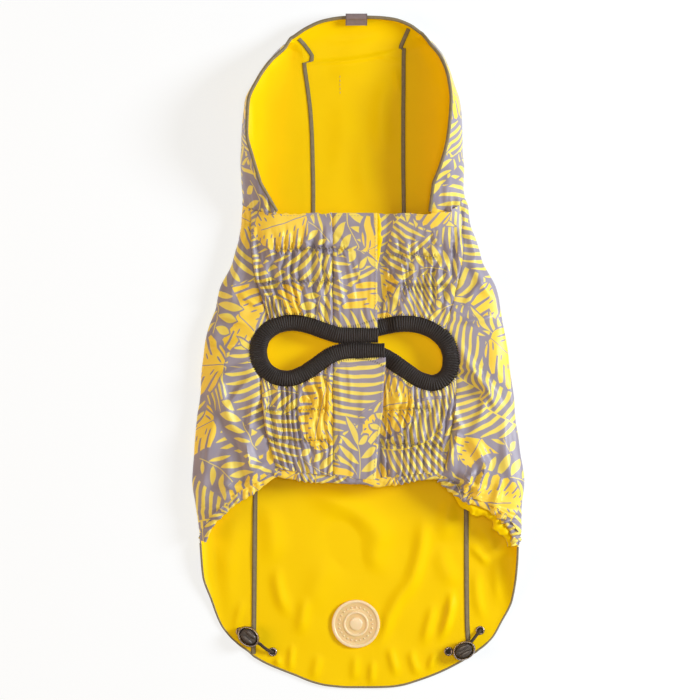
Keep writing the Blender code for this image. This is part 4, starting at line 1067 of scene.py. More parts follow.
elastic = material("black_elastic", elastic_looks)
rib_shape = bar("rib", 8, 13, lambda at: (
    0.84, 0.95 * (1 - abs(at) ** 9) + 0.12, 2.0 * (1 - abs(at) ** 3.2) - 0.6,
))
for side, word in SIDES:
    line, normals, half = leg_binding(side)
    middle = lapped(side, *line.T)[::2]
    edges = [lapped(side, *(line + normals * half[:, None] * away).T) for away in (1, -1)]
    across = (edges[0] - edges[1])[::2]
    width = np.linalg.norm(across, axis=1)
    along = np.gradient(middle, axis=0)
    up = np.cross(across, along)
    up *= np.sign(up[:, 2])[:, None]
    jitter = np.random.default_rng(5 + side).uniform(0.985, 1.015, (len(middle), 2))
    sizes = np.stack([(width + 0.9) * jitter[:, 0], jitter[:, 1], jitter[:, 1]], axis=1)
    middle[:, 2] += 0.6
    repeated(f"leg_binding_{word}_ribs", rib_shape, middle, across, up, sizes, elastic,
             [f"leg_binding_{word}"])
    columns = np.linspace(-1, 1, 11)[None, :]
    core = lapped(side, *beside(line, normals, half[:, None] * columns))
    normal = surface_normals(core, 1)
    bulge = 1.7 * (1 - np.abs(columns) ** 3.2) - 0.2 + 0 * core[:, :, 2]
    faces, _ = grid_faces(core.shape[1], core.shape[0], False)
    points = np.concatenate([core + normal * bulge[:, :, None], core - 0.2 * normal]).reshape(-1, 3)
    piece(f"leg_binding_{word}_band", points, faces, [elastic], [f"leg_binding_{word}"])

# The gathered hems -----------------------------------------------------------------------------------
# Narrow casings with elastic inside, along the belly and up the fronts of the side panels. The elastic
# draws the cloth into small uneven frills.

HEMS = {  # line, side of the cloth, waves, depth, and where its print starts
    "belly_hem": ([(-63.5, -94.4), *BELLY_HEM, (64.5, -100)], -1, 24, 1.7, 0),
    "side_hem_left": ([(-57.6, -94.2), *SIDE_HEM[LEFT]], 1, 11, 1.2, 205),
    "side_hem_right": ([(60.2, -98.8), *SIDE_HEM[RIGHT]], -1, 14, 3.0, 290),
}
HEM_GATHER, HEM_CUT, HEM_SHOWN = 1.5, 0.014, 0.0066  # cut and shown width in metres
for seed, (name, (points, away, waves, deep, start)) in enumerate(HEMS.items()):
    rows = 16 * waves + 1
    line = path_through(points, rows)
    normals = side_normals(line) * away
    v, u = shares(rows, 12)
    phase = waves * v + 0.6 * mottle(120 + seed, v * waves / 2.3, u * 1.2) + 0.25 * (1 - u)
    uneven = 0.6 + 0.9 * mottle(123 + seed, v * waves / 1.3, u * 0.9)
    frill = uneven * (0.5 - 0.5 * np.cos(math.tau * phase))
    wander = 1.2 * mottle(129 + seed, v * waves / 2.1, 0 * u + 7) - 0.6 * deep * (frill - 0.35)
    out = u * (CASING + 0.8) - 0.2 + wander * (1 - u) ** 1.6
    base = top_layer(*beside(line, normals, out))
    roll = np.sqrt(np.maximum(1 - (1 - u) ** 4, 0))
    height = deep * frill * (0.4 + 0.6 * roll) + 1.0 * roll - 1.0
    height += 0.4 * mottle(126 + seed, v * waves * 1.7, u * 3) - 0.3 * bell(u - 0.86, 0.07)
    print_at = (start + HEM_GATHER * length_of(line) * v + 0 * u, 1.3 * out)
    made = cloth(f"{name}_cloth", base, away, height, [name], wall=0.8, print_at=print_at)
    long = round(HEM_GATHER * length_of(line) / 1000, 3)

# On the right the casing has rolled outwards, so its yellow inside shows along the edge.
rows = 360
line = path_through(SIDE_HEM[RIGHT], rows)
normals = side_normals(line)
v, u = shares(rows, 9)
wide = 4.6 * ease(0.02, 0.45, v) * (1 - 0.6 * ease(0.8, 1.0, v)) + 0.4
wide = wide * (1 + 0.45 * mottle(132, v * 11, 0 * v + 3) + 0.15 * mottle(134, v * 25, 0 * v + 5))
out = u * (wide + 1.5) - 1.5
base = top_layer(*beside(line, normals, out), 1.0)
height = 1.3 * np.sin(math.pi * u) + 1.2 * mottle(133, v * 20, u * 1.5) * u - 1.6 * u
cloth("side_hem_right_turned_edge", base, -1, -height, [], uv_start=600, wall=0.6)

# The hood --------------------------------------------------------------------------------------------
# Three pieces, yellow inside: a middle one that lies flat and turns up at the brim, and two side ones
# that stand up round the face opening. Its neck seam is drawn up and puckered.

HOOD_RIBS = {
    LEFT: [  # seam x, seam y, fold x, fold y, fold z, rim x, rim y, rim z
        (-34, 122, -88, 124, 7, -74, 126, 25), (-34.4, 143, -88.6, 145, 8.5, -79.4, 145, 31),
        (-35, 163, -88, 165, 9, -83.4, 164, 34), (-36.2, 182, -85.6, 186, 9, -82.4, 186, 33),
        (-38.4, 200, -77, 206, 8.6, -74.6, 205, 28), (-40.4, 214, -67.2, 220.4, 8, -65, 219, 22),
        (-41.6, 224, -57.6, 230, 7.5, -55.6, 228.2, 17), (-43.5, 231, -51.2, 236.8, 7.4, -49.4, 235.2, 13.5),
    ],
    RIGHT: [
        (34.6, 122, 79, 124, 7, 57.5, 126, 25), (34.4, 143, 79.4, 145, 8.5, 64, 144, 31),
        (34.4, 163, 78.6, 166, 9, 68.4, 165, 34), (34.4, 182, 77, 187, 9, 70, 188, 33),
        (34.6, 200, 71.2, 206.6, 8.6, 67.8, 205.6, 28), (34.6, 214, 65.2, 222.4, 8, 62.4, 221, 22),
        (34.8, 226, 57.6, 232.4, 7.5, 55.4, 230.6, 17), (37.4, 236, 48.4, 241, 7.4, 46.6, 239.4, 13.5),
    ],
}
BRIM = [(-51, 235.4), (-38, 244), (-26, 249), (-12, 251.4), (0, 251.9), (14, 251.6), (26, 250.4),
        (38, 246.4), (49.5, 238.4)]  # x, y
BRIM_REACH, BRIM_RISE, RIM_TURN, SIDE_TURN = 26, 9.5, 62, 22.0
RIB_STEP = 19  # about as far apart as the ribs are at the fold
LAST_RIB, HOOD_END = 6.1, 6.97  # between these the side panel narrows to the end of its seam
SEAM_SHIFT = 0.02  # the panels meet this far outside the line of their seam
HOOD_ROWS_TO, PIPING_TO = 6.98, 6.95
brim_of = smooth(BRIM, 1)
HOOD_FOLDS = [  # from x, y, to x, y, half width, rise, sideways bow
    (-36, 219, 34, 229, 1.6, 1.1, 3), (14, 226, 32, 219, 1.8, 0.6, 1), (-20, 214, 10, 207, 8, 0.7, 2),
    (22, 206, 20, 150, 7, 1.3, 4), (-12, 190, -18, 130, 9, 1.0, -3), (28, 214, 31, 196, 2.0, 0.9, 0),
    (2, 160, 8, 112, 7, 0.9, 2), (-26, 236, 18, 240, 3, 0.4, 2),
]


def brim_height(x, y):
    share = np.clip((y - brim_of(x) + BRIM_REACH) / BRIM_REACH, 0, 0.999)
    return CLOTH + BRIM_RISE * (1 - np.sqrt(1 - share * share))


def hood_seam(side):
    rows = [(NECK_ON_FLOOR, side * back_seam_of[side](NECK_ON_FLOOR))]
    rows += [(rib[1], rib[0]) for rib in HOOD_RIBS[side]]
    rows.append((HOOD_RIBS[side][-1][6], HOOD_RIBS[side][-1][5]))
    return smooth(rows, 1)


def hood_rise(x, y):
    """How far the cloth inside the hood stands up in folds."""
    return np.maximum(folds(HOOD_FOLDS, x, y) + 0.3 * mottle(130, x / 18, y / 20), -LYING)


seams = {side: hood_seam(side) for side in (LEFT, RIGHT)}
columns, rows = np.meshgrid(
    np.linspace(0, 1, 56), np.concatenate([np.linspace(0, 0.7, 50), np.linspace(0.71, 1, 50)])
)
x, y = patch(lambda y: seams[LEFT](y) - SEAM_SHIFT, lambda y: seams[RIGHT](y) + SEAM_SHIFT,
             lambda x: NECK_ON_FLOOR + 0.1 + 0 * x, brim_of)(columns, rows)
base = np.stack([x, y, brim_height(x, y)], axis=2)
made = cloth("hood_centre_cloth", base, -1, -hood_rise(x, y) * ease(1.0, 0.93, rows), ["hood_centre"],
             uv_start=420)
brim_corner = {LEFT: float(y[-1, 0]), RIGHT: float(y[-1, -1])}


def hood_grid(side, u, index):
    """Points of a hood side panel: u from the floor seam to the rim, index along the ribs."""
    ribs = [(number, *rib) for number, rib in enumerate(HOOD_RIBS[side])]
    at = np.clip(index, 0, LAST_RIB)[:, None] + 0 * u[None, :]
    seam_x, seam_y, fold_x, fold_y, fold_z, rim_x, rim_y, rim_z = (smooth(ribs, k + 1)(at) for k in range(8))
    u = u[None, :] + 0 * at
    seam_x = seams[side](seam_y)
    seam = np.stack([seam_x + side * SEAM_SHIFT, seam_y], axis=2)
    fold = np.stack([fold_x - side * CLOTH, fold_y], axis=2)
    gap = np.linalg.norm(fold - seam, axis=2)
    way = (fold - seam) / gap[:, :, None]
    turn = np.minimum(SIDE_TURN, 0.6 * gap)
    lift_off = fold - way * turn[:, :, None]
    low = brim_height(seam_x, seam_y)
    first = seam + (lift_off - seam) * (u / FLOOR_U)[:, :, None]
    angle = np.clip((u - FLOOR_U) / (FOLD_U - FLOOR_U), 0, 1) * math.pi / 2
    second = lift_off + way * (turn * np.sin(angle))[:, :, None]
    second_z = low + (fold_z - low) * (1 - np.cos(angle))
    end = math.radians(RIM_TURN)
    over = np.clip((u - FOLD_U) / (1 - FOLD_U), 0, 1) * end
    share = (1 - np.cos(over)) / (1 - math.cos(end))
    third = fold + (np.stack([rim_x, rim_y], axis=2) - fold) * share[:, :, None]
    third_z = fold_z + (rim_z - fold_z) * np.sin(over) / math.sin(end)
    flat = np.where((u <= FLOOR_U)[:, :, None], first, np.where((u <= FOLD_U)[:, :, None], second, third))
    z = np.where(u <= FLOOR_U, low, np.where(u <= FOLD_U, second_z, third_z))
    found = np.dstack([flat, z])
    last_y = HOOD_RIBS[side][-1][1]
    edge_y = last_y + (brim_corner[side] - last_y) * u
    edge_x = seams[side](edge_y) + side * SEAM_SHIFT
    closed = np.clip((index - LAST_RIB) / (HOOD_END - LAST_RIB), 0, 1)[:, None, None]
    found = found * (1 - closed) + np.dstack([edge_x, edge_y, brim_height(edge_x, edge_y)]) * closed
    seam_y = found[:, :1, 1]
    seam_x = seams[side](seam_y) + side * SEAM_SHIFT
    on_seam = np.dstack([seam_x, seam_y, brim_height(seam_x, seam_y)])
    found += (on_seam - found[:, :1]) * ease(FLOOR_U, 0, u)[:, :, None]
    start = (back_seam_of[side](NECK_ON_FLOOR) + SEAM_GAP) / floor_edge(side, NECK_ON_FLOOR)
    last = float(girth_on_top(side, THROAT[side], CHEST_EDGE))
    girth = np.interp(u[0], [0, FLOOR_U, FOLD_U, 1], [start, 1, 2, last])
    neck = section(side, girth, neck_line(side, girth) - 0.9 * ease(2, 2.1, girth) - 0.05)[None, :, :]
    below = np.clip(-index, 0, 1)[:, None, None]
    return neck * below + found * (1 - below)


HOOD_SIDE_FOLDS = {  # the same on the hood's sides
    LEFT: [(-84, 118, -86, 150, 3.4, 1, 1), (-70, 112, -80, 140, 2.6, 0.9, 0),
           (-60, 112, -54, 140, 5, -0.8, 2), (-78, 160, -84, 200, 4, 0.7, 1)],
    RIGHT: [(76, 116, 78, 148, 3, 1.2, -1), (64, 112, 70, 142, 2.4, 1, 0), (74, 150, 74, 192, 3.4, 0.9, 1),
            (52, 200, 50, 140, 6, -0.9, 2), (60, 180, 58, 128, 4, 0.7, -1)],
}
for side, word in SIDES:
    index = np.concatenate([np.linspace(-1, 0, 26)[:-1], np.linspace(0, HOOD_ROWS_TO, 100)])
    u = side_columns(22, 22, 34)
    base = hood_grid(side, u, index)
    x, y = base[:, :, 0], base[:, :, 1]
    arc = arc_across(base)
    from_neck = np.maximum(index + 1, 0)[:, None] * RIB_STEP
    height = folds(HOOD_SIDE_FOLDS[side], x, y) * ease(0.3, 0.5, u)[None, :]
    height += neck_pucker(side, x, from_neck) * ease(0.51, 0.645, u)[None, :]
    height += 0.35 * mottle(143 + side, arc / 11, y / 15) * ease(0.25, 0.4, u)[None, :]
    level_end = ease(6.9, 6.3, index)[:, None]
    height *= level_end
    height -= hood_rise(x, y) * ease(0.26, 0.0, u)[None, :] * level_end
    made = cloth(f"hood_side_{word}_cloth", base, -side, height, [f"hood_side_{word}"],
                 uv_start=500 + side * 40, uv_side=side)

# The piping, tab and seam tapes ----------------------------------------------------------------------
# Grey corded piping edges the hood and, thinner, the tail. Grey woven tape covers the inside of the
# long seams, and a short piece of it is folded over the piping at the hood's peak.


def tape_looks():
    place = on_cloth()
    across, along = millimetres(place, 0, 1)
    twill = ((along * 5.2 + across * 5.2).wave() * 0.5 + 0.5) * 0.6
    cord = ((across * 6.3).wave() * 0.5 + 0.5) * 0.4
    # Darker olive at the edges: on the flat tapes partly their stitched edges and partly painted shade; on
    # the round piping the same mark falls on its sides and underside and is painted shade there.
    edge = (abs(across) - 0.95).held(0.5) * 2
    tone = blend(noise(place, 300.0), colour(118, 108, 84), colour(150, 140, 112))
    return {"Base Color": blend(edge * 0.8, tone, colour(64, 54, 26)), "Roughness": 0.5,
            "Normal": bumps(twill + cord, 0.5), "Specular IOR Level": 0.3}


tape = material("grey_tape", tape_looks)
UPWARD = np.array([0, 0, 1.0])
RIM_RADIUS, TAIL_RADIUS, BACK_TAPE, HOOD_TAPE, TAPE_WALL = 1.3, 0.8, 3.5, 3.0, 0.35


def tube(name, path, radius, sides, finish, stands_for):
    """A round cord along a path, with cloth coordinates that run round and along it."""
    way = unit(np.gradient(path, axis=0))
    flat = unit(np.cross(way, UPWARD))
    up = np.cross(flat, way)
    angle = np.linspace(0, math.tau, sides, endpoint=False)[:, None]
    round_it = np.cos(angle) * flat[:, None] + np.sin(angle) * up[:, None]
    mesh = lofted(name, path[:, None] + radius * round_it)
    # The across coordinate grows from the top of the cord, so with the grey tape the painted shade at its
    # edges falls on the piping's sides and underside.
    lay_uv(mesh, pairs_of(np.abs(angle.T - math.pi / 2) * radius * 0.6, run_along(path)[:, None]))
    mesh.materials.append(finish)
    put(name, mesh, stands_for)


rim = []
for side in (LEFT, RIGHT):
    edge = hood_grid(side, np.array([0.98, 1.0]), np.linspace(-0.9, PIPING_TO, 60))
    way = unit(edge[:, 1] - edge[:, 0])
    normal = unit(np.cross(way, np.gradient(edge[:, 1], axis=0)) * -side)
    points = edge[:, 1] + way * 0.9 + normal * CLOTH / 2
    if side == LEFT:
        at = np.linspace(-48, 47, 32)
        brim = np.stack([at, brim_of(at) + CLOTH / 2, brim_height(at, brim_of(at)) + 0.9], axis=1)
        rim += [*points, *brim]
    else:
        rim += [*points[::-1]]
tube("hood_rim_piping", path_through(rim, 420), RIM_RADIUS, 12, tape, ["hood_rim"])

tail = []
for side in (LEFT, RIGHT):
    level = np.linspace(SIDE_HEM[side][-1][1] - 1, OUTLINE[-1][0] + 7, 30)
    edge, inner = section(side, TAIL_GIRTH, level), section(side, TAIL_GIRTH - 0.06, level)
    way = unit(edge - inner)
    points = edge + way * 0.5 + np.cross(way, (0, 1, 0)) * -side * CLOTH / 2
    corner = tail_corner[side][2:-12:4] + (side * 0.2, -0.5, -0.3)
    if side == LEFT:
        tail += [*points, *corner[::-1]]
        at = np.linspace(-79, 83.5, 60)
        hem_path = path_through(np.stack([at, tail_edge_of(at)], axis=1), 60)
        outer = hem_path + side_normals(hem_path) * 0.5
        rise = tail_rise(hem_path[:, 0], hem_path[:, 1])
        tail += [np.array([*xy, 0.9 + up]) for xy, up in zip(outer, rise)]
    else:
        tail += [*corner, *points[::-1]]
tube("tail_piping_cord", path_through(tail, 420), TAIL_RADIUS, 10, tape, ["tail_piping"])


def strip(name, middle, across, up, width, wall, stands_for, dome=0.25, finish=tape):
    """A flat tape along a path in space, a little domed."""
    columns = np.linspace(-0.5, 0.5, 7)[:, None]
    up = unit(up)[:, None]
    low = middle[:, None] + unit(across)[:, None] * (columns * width)
    high = low + up * (wall + dome * (1 - (2 * columns) ** 4))
    uv = pairs_of(columns.T * width, run_along(middle)[:, None])
    normal = np.cross(np.gradient(low, axis=1), np.gradient(low, axis=0))
    faces, _ = grid_faces(len(columns), len(middle), (normal * up).sum() < 0)
    points = np.concatenate([high, low]).reshape(-1, 3)
    return piece(name, points, faces, [finish], stands_for, np.concatenate([uv, uv]))


HOOD_TAPE_ENDS = {LEFT: (219, 236.4), RIGHT: (229.4, 244)}  # y of the brim's crease and of the top
HOOD_TAPE_TOP = {  # y, x above that crease
    LEFT: [(218, -36), (221, -35.2), (224, -35), (228, -37.6), (232, -40.6), (236.6, -45)],
    RIGHT: [(228, 31.6), (230, 32.2), (237, 35.2), (244, 38.4)],
}
for side, word in SIDES:
    y = np.linspace(-230.4, 97, 260)
    x = side * back_seam_of[side](y)
    middle = np.stack([x, y, CLOTH + 0.1 + tail_rise(x, y) - LYING], axis=1)
    ways = np.gradient(middle, axis=0)
    strip(f"back_tape_{word}_woven", middle, np.cross(ways, UPWARD), 0 * middle + UPWARD, BACK_TAPE,
          TAPE_WALL, [f"back_tape_{word}"])
    crease, top = HOOD_TAPE_ENDS[side]
    y = np.linspace(99, top, 200)
    bent = np.interp(y, *zip(*HOOD_TAPE_TOP[side]))
    turning = bent + (seams[side](crease) - bent) * ease(crease + 0.8, crease - 0.8, y)
    x = np.where(y < crease - 1, seams[side](y), turning)
    middle = np.stack([x, y, brim_height(x, y) + hood_rise(x, y) * 0.8 + 0.1], axis=1)
    ways = np.gradient(middle, axis=0)
    steep = np.abs(ways[:, 0]) > 1.2 * np.abs(ways[:, 1])
    ways[steep, 0] = 0
    across = np.cross(ways, UPWARD)
    up = np.cross(across, ways)
    strip(f"hood_tape_{word}_woven", middle, across, up, HOOD_TAPE, TAPE_WALL, [f"hood_tape_{word}"])


def grosgrain_looks():
    place = on_cloth()
    across, along = millimetres(place, 0, 1)
    ribs = (along * 9).wave() * 0.5 + 0.5
    tone = blend(noise(place, 260.0), colour(122, 108, 112), colour(150, 136, 138))
    hem = (abs(across) - 7.3).held(0.5) * 1.4
    return {"Base Color": blend(hem, tone, colour(92, 78, 76)), "Roughness": 0.6, "Normal": bumps(ribs, 0.5)}


TAB_WIDTH, TAB_LEG, TAB_BEND, TAB_WALL, TAB_AT = 16.3, 5.0, 1.9, 0.7, -1.2
middle_y = float(brim_of(TAB_AT)) + CLOTH / 2
middle_z = float(brim_height(TAB_AT, brim_of(TAB_AT))) + 1.6
profile = [(-TAB_BEND - 0.8 * TAB_LEG * (1 - k / 8), -0.5 * TAB_LEG * (1 - k / 8)) for k in range(8)]
profile += [(-TAB_BEND * math.cos(a), TAB_BEND * math.sin(a)) for a in np.linspace(0, math.pi, 18)]
profile += [(TAB_BEND, -TAB_LEG * k / 8) for k in range(1, 9)]
middle = np.array([(TAB_AT, middle_y + out, middle_z + up) for out, up in profile])
ways = np.gradient(middle, axis=0)
across = 0 * middle + (1, 0, 0)
strip("hood_tab_folded", middle, across, np.cross(across, ways), TAB_WIDTH, TAB_WALL, ["hood_tab"], 0.0,
      material("lilac_grosgrain", grosgrain_looks))

# The badge -------------------------------------------------------------------------------------------
# A round badge of soft cream rubber, stuck on inside at the tail: a raised rim, a ring of small studs
# and a raised ring round a plain disc.


def rubber_looks():
    place = on_object()
    (up,) = millimetres(place, 2)
    raised = ((up - 2.55) * 3).held()
    return {"Base Color": blend(raised, colour(226, 186, 104), colour(245, 224, 182)), "Roughness": 0.38,
            "Normal": bumps(noise(place, 160.0), 0.1), "Coat Weight": 0.1,
            "Subsurface Weight": 0.15, "Subsurface Scale": 0.002}


def turned(name, profile, segments, finish, stands_for, at, stretch=(1, 1), turn=0.0):
    """A ring or disc from a profile of (radius, height) points. A point at radius 0 is a pole, and a
    profile with none is closed on itself."""
    swing = math.radians(turn)
    points, faces, rings = [], [], []
    for radius, height in profile:
        if radius == 0:
            rings.append([len(points)] * segments)
            points.append((at[0], at[1], at[2] + height))
            continue
        rings.append(list(range(len(points), len(points) + segments)))
        for k in range(segments):
            angle = math.tau * k / segments
            x, y = radius * math.cos(angle) * stretch[0], radius * math.sin(angle) * stretch[1]
            points.append((at[0] + x * math.cos(swing) - y * math.sin(swing),
                           at[1] + x * math.sin(swing) + y * math.cos(swing), at[2] + height))
    pairs = list(zip(rings, rings[1:]))
    if profile[0][0] > 0:
        pairs.append((rings[-1], rings[0]))
    for lower, upper in pairs:
        for k in range(segments):
            corners = (lower[k], lower[(k + 1) % segments], upper[(k + 1) % segments], upper[k])
            faces.append(tuple(dict.fromkeys(corners)))
    return piece(name, points, faces, [finish], stands_for)


def rounded(profile, softness=0.25, steps=3):
    """The profile with each corner that isn't on the axis cut into a small curve."""
    points = [np.array(p, float) for p in profile]
    out = []
    for k, here in enumerate(points):
        if here[0] == 0:
            out.append(tuple(here))
            continue
        before, after = points[k - 1], points[(k + 1) % len(points)]
        start = here + (before - here) * min(softness / (np.linalg.norm(before - here) + 1e-9), 0.4)
        end = here + (after - here) * min(softness / (np.linalg.norm(after - here) + 1e-9), 0.4)
        for t in np.linspace(0, 1, steps):
            out.append(tuple((1 - t) ** 2 * start + 2 * t * (1 - t) * here + t * t * end))
    return out


def circle(radius, count, height, middle=(0, 0)):
    """Points round a level circle."""
    angle = np.linspace(0, math.tau, count, endpoint=False)
    x, y = middle[0] + radius * np.cos(angle), middle[1] + radius * np.sin(angle)
    return np.stack([x, y, 0 * angle + height], axis=1)


rubber = material("badge_rubber", rubber_looks)
SEAT = CLOTH + 0.3  # height of the cloth that the badge and the locks sit on
BADGE_AT, BADGE_RADIUS, BADGE_TOP, BADGE_FIELD = (-1.6, -207.6), 18.4, 1.7, 1.2
STUD_COUNT, STUD_RADIUS = 24, 12.7
STUD = [(0.75, -0.2), (0.72, 0.25), (0.5, 0.45), (0.2, 0.52)]  # radius, height
badge_profile = [
    (0, 0), (BADGE_RADIUS - 0.6, 0), (BADGE_RADIUS, 0.5), (BADGE_RADIUS - 0.3, BADGE_TOP),
    (BADGE_RADIUS - 2.0, BADGE_TOP), (BADGE_RADIUS - 2.5, BADGE_FIELD), (9.6, BADGE_FIELD),
    (9.2, BADGE_TOP), (8.2, BADGE_TOP), (7.8, BADGE_FIELD), (5.0, BADGE_FIELD), (4.4, BADGE_TOP),
    (0, BADGE_TOP),
]
turned("badge_disc", rounded(badge_profile), 96, rubber, ["badge"], (*BADGE_AT, SEAT))
stud_shape = lofted("stud", [circle(radius, 10, height) for radius, height in STUD])
level = np.ones((STUD_COUNT, 1))
repeated("badge_studs", stud_shape, circle(STUD_RADIUS, STUD_COUNT, SEAT + BADGE_FIELD, BADGE_AT),
         level * (1, 0, 0), level * (0, 0, 1), level * (1, 1, 1), rubber, ["badge"])

# The drawcord, its locks and its eyelets -------------------------------------------------------------
# A thin round elastic cord runs in the tail hem. On each side a stretch of it comes out of an eyelet
# and goes through an oval lock: a metal ring round a dark grey button with two raised grips.


def metal_looks():
    scuff = noise(on_object(), 700.0, 3.0)
    return {"Base Color": blend(scuff, colour(126, 114, 110), colour(172, 160, 154)), "Metallic": 0.9,
            "Roughness": scuff * 0.2 + 0.16}


def plastic_looks():
    scuff = noise(on_object(), 400.0)
    return {"Base Color": blend(scuff, colour(58, 52, 50), colour(88, 80, 75)),
            "Roughness": scuff * 0.2 + 0.24}


def cord_looks():
    around, along = millimetres(on_cloth(), 0, 1)
    braid = (along * 5 + around * 6).wave() * (along * 5 - around * 6).wave()
    return {"Base Color": blend(braid * 0.5 + 0.5, colour(40, 34, 30), colour(98, 88, 78)), "Roughness": 0.6,
            "Normal": bumps(braid, 0.8, 0.0004)}


metal = material("gunmetal", metal_looks)
plastic = material("glossy_black", plastic_looks)
cord = material("black_cord", cord_looks)
EYELETS = {"left_inner": (-64.8, -228.9), "left_outer": (-89.4, -213.6),
           "right_inner": (68.8, -228.6), "right_outer": (92.8, -212.6)}
EYELET_RADIUS, EYELET_HOLE, EYELET_HEIGHT = 3.5, 1.8, 1.1
LOCKS = {"left": (-83.1, -216.9, -40), "right": (80.4, -227.5, 27)}
LOCK_LENGTH, LOCK_WIDTH, LOCK_HEIGHT, LOCK_LEVEL = 18.2, 14.2, 7.6, SEAT + EYELET_HEIGHT + 0.3
LOCK_SHELL = [(0.74, 0), (0.94, 0.08), (1, 0.3), (1, 0.5), (0.95, 0.78), (0.91, 0.85), (0.85, 0.86),
              (0.82, 0.76), (0.8, 0.3)]
LOCK_BUTTON = [(0, 0.1), (0.6, 0.1), (0.74, 0.25), (0.77, 0.6), (0.7, 0.74), (0.5, 0.78), (0, 0.78)]
LOCK_GRIP = [(0, 0.7), (0.95, 0.7), (1, 0.8), (0.9, 0.9), (0.62, 0.98), (0, 1.0)]
GRIP_OFF, GRIP_SIZE, CORD_RADIUS = 0.34, (0.6, 0.26), 1.2
CORDS = {  # x, y, z from the lock to its eyelet
    "left": [(-74.9, -222.3, 5.2), (-72.6, -224.2, 4.8), (-70.2, -226.2, 4.4), (-67.8, -227.8, 4.0),
             (-66.1, -228.6, 3.4), (-65.1, -228.9, 2.5), (-64.8, -228.9, 1.6)],
    "right": [(86.4, -220.4, 5.2), (88, -218.5, 4.9), (89.5, -216.6, 4.5), (91, -214.8, 4.0),
              (92.1, -213.4, 3.4), (92.7, -212.7, 2.5), (92.8, -212.6, 1.6)],
}
eyelet_profile = rounded([
    (EYELET_HOLE, 0), (EYELET_RADIUS, 0), (EYELET_RADIUS - 0.2, 0.7 * EYELET_HEIGHT),
    (0.5 * (EYELET_HOLE + EYELET_RADIUS), EYELET_HEIGHT), (EYELET_HOLE, 0.6 * EYELET_HEIGHT),
])
hole_profile = [(0, 0.15), (EYELET_HOLE + 0.1, 0.15), (EYELET_HOLE + 0.1, 0.3), (0, 0.3)]
for word, at in EYELETS.items():
    turned(f"eyelet_{word}_ring", eyelet_profile, 40, metal, [f"eyelet_{word}"], (*at, SEAT))
    turned(f"eyelet_{word}_hole", hole_profile, 24, elastic, [], (*at, SEAT))


def lock_part(word, part, shares, softness, segments, finish, stands_for, off=0.0, size=(1, 1)):
    """An oval part of a lock, off to one side of its middle. The shares are of the lock's own radius and
    height."""
    x, y, turn = LOCKS[word]
    swing, out = math.radians(turn), off * LOCK_WIDTH / 2
    turned(f"cord_lock_{word}_{part}", rounded([(r, z * LOCK_HEIGHT) for r, z in shares], softness), segments,
           finish, stands_for, (x - math.sin(swing) * out, y + math.cos(swing) * out, LOCK_LEVEL),
           (size[0] * LOCK_LENGTH / 2, size[1] * LOCK_WIDTH / 2), turn)


for word, (x, y, _) in LOCKS.items():
    lock_part(word, "shell", LOCK_SHELL, 0.08, 72, metal, [f"cord_lock_{word}"])
    lock_part(word, "middle", LOCK_BUTTON, 0.08, 72, plastic, [f"cord_lock_{word}_button"])
    for number, off in enumerate((-GRIP_OFF, GRIP_OFF)):
        lock_part(word, f"grip_{number}", LOCK_GRIP, 0.06, 40, plastic, [], off, GRIP_SIZE)
    first_x, first_y, first_z = CORDS[word][0]
    inner_end = (0.7 * first_x + 0.3 * x, 0.7 * first_y + 0.3 * y, first_z + 0.2)
    path = path_through([inner_end, *CORDS[word]], 70)
    tube(f"drawcord_{word}_cord", path, CORD_RADIUS, 14, cord, [f"drawcord_{word}"])

# The stitching ---------------------------------------------------------------------------------------
# Lockstitch in grey thread along the elastic rows, down the plackets' edges and along the neck edge, and
# two short rows of it in the hood. Black elastic thread crosses both edges of the leg bindings.


def thread_looks():
    twist = noise(on_object(), 900.0, 1.0)
    return {"Base Color": blend(twist, colour(150, 142, 124), colour(204, 196, 168)), "Roughness": 0.6}


THREAD_RADIUS, THREAD_END, STITCH_BOW = 0.14, 0.03, 0.16


def stitch_section(at):
    thin = THREAD_RADIUS * math.sqrt(max(1 - abs(at) ** 6, 0)) + THREAD_END
    return thin, thin, STITCH_BOW * (1 - at * at)


thread = material("grey_thread", thread_looks)
stitch_shape = bar("stitch", 6, 7, stitch_section)
LOOK_FROM, DOWNWARD, ON_COAT = 0.2, Vector((0, 0, -1)), 0.0004  # heights in metres


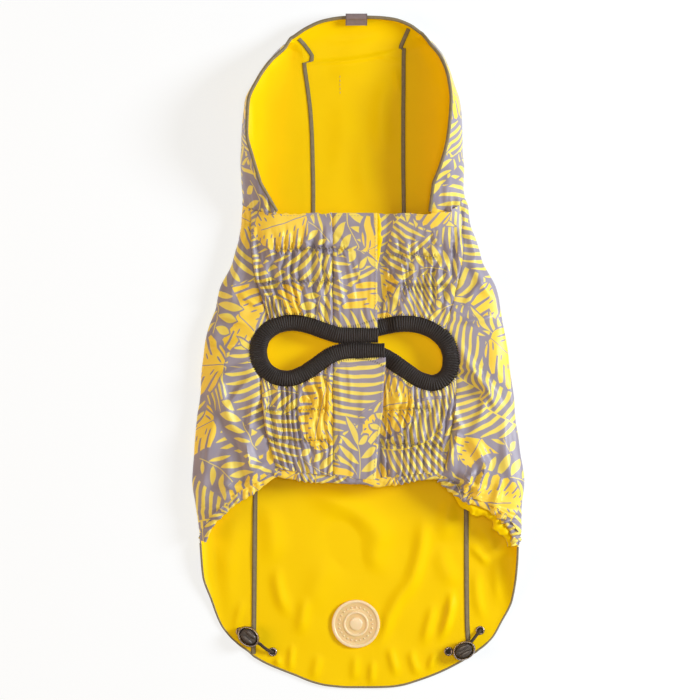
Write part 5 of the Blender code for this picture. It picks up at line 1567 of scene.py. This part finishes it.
def sewn(name, lines, long, pitch, finish=thread, across=False, bold=1.0):
    """Stitches along lines of (x, y) points, or across them, let down on whatever shows from above."""
    graph = bpy.context.evaluated_depsgraph_get()
    points, ways, ups, sizes = [], [], [], []
    for line in lines:
        line = path_through(line, max(int(length_of(np.asarray(line, float)) / pitch), 2))
        landed = []
        for x, y in line:
            above = Vector((x * MM, y * MM, LOOK_FROM))
            hit, where, normal, *_ = bpy.context.scene.ray_cast(graph, above, DOWNWARD)
            landed.append((np.array(where) / MM, np.array(normal)) if hit and where[2] > ON_COAT else None)
        for before, here, after in zip(landed, landed[1:], landed[2:]):
            if before is None or here is None or after is None:
                continue
            way = after[0] - before[0]
            if np.linalg.norm(way) > 3 * pitch:
                continue
            points.append(here[0])
            ways.append(np.cross(here[1], way) if across else way)
            ups.append(here[1])
            sizes.append((long, bold, bold))
    repeated(name, stitch_shape, points, ways, ups, sizes, finish)


rows_sewn = []
for *_, elastics in GATHERED.values():
    for at, from_x, to_x, slope in elastics:
        across = np.linspace(from_x, to_x, 40)
        rows_sewn.append(np.stack([across, at + slope * (across - (from_x + to_x) / 2)], axis=1))
sewn("elastic_row_stitches", rows_sewn, long=1.3, pitch=2.0, bold=2.6)
PLACKET_STITCH_IN, NECK_STITCH_IN = 1.6, 2.2  # from the edge
edges_sewn = []
for low_y, high_y in ((20, 102), (-96, -9)):
    level = np.linspace(low_y, high_y, 60)
    edges_sewn.append(np.stack([placket_edge_of(level) - PLACKET_STITCH_IN, level], axis=1))
for from_x, to_x, count in ((-58, 12, 60), (17, 52, 40)):
    across = np.linspace(from_x, to_x, count)
    edges_sewn.append(np.stack([across, 0 * across + CHEST_EDGE - NECK_STITCH_IN], axis=1))
edges_sewn += [[(-13.6, 211), (-13.7, 202), (-13.4, 193)], [(15, 199.5), (15.1, 196), (15, 192)]]
sewn("edge_stitches", edges_sewn, long=1.7, pitch=2.3)
bound = []
for side in (LEFT, RIGHT):
    line, normals, half = leg_binding(side)
    bound += [line + normals * (half - 0.1)[:, None] * away for away in (1, -1)]
sewn("binding_stitches", bound, long=1.9, pitch=RIB_PITCH, finish=elastic, across=True)
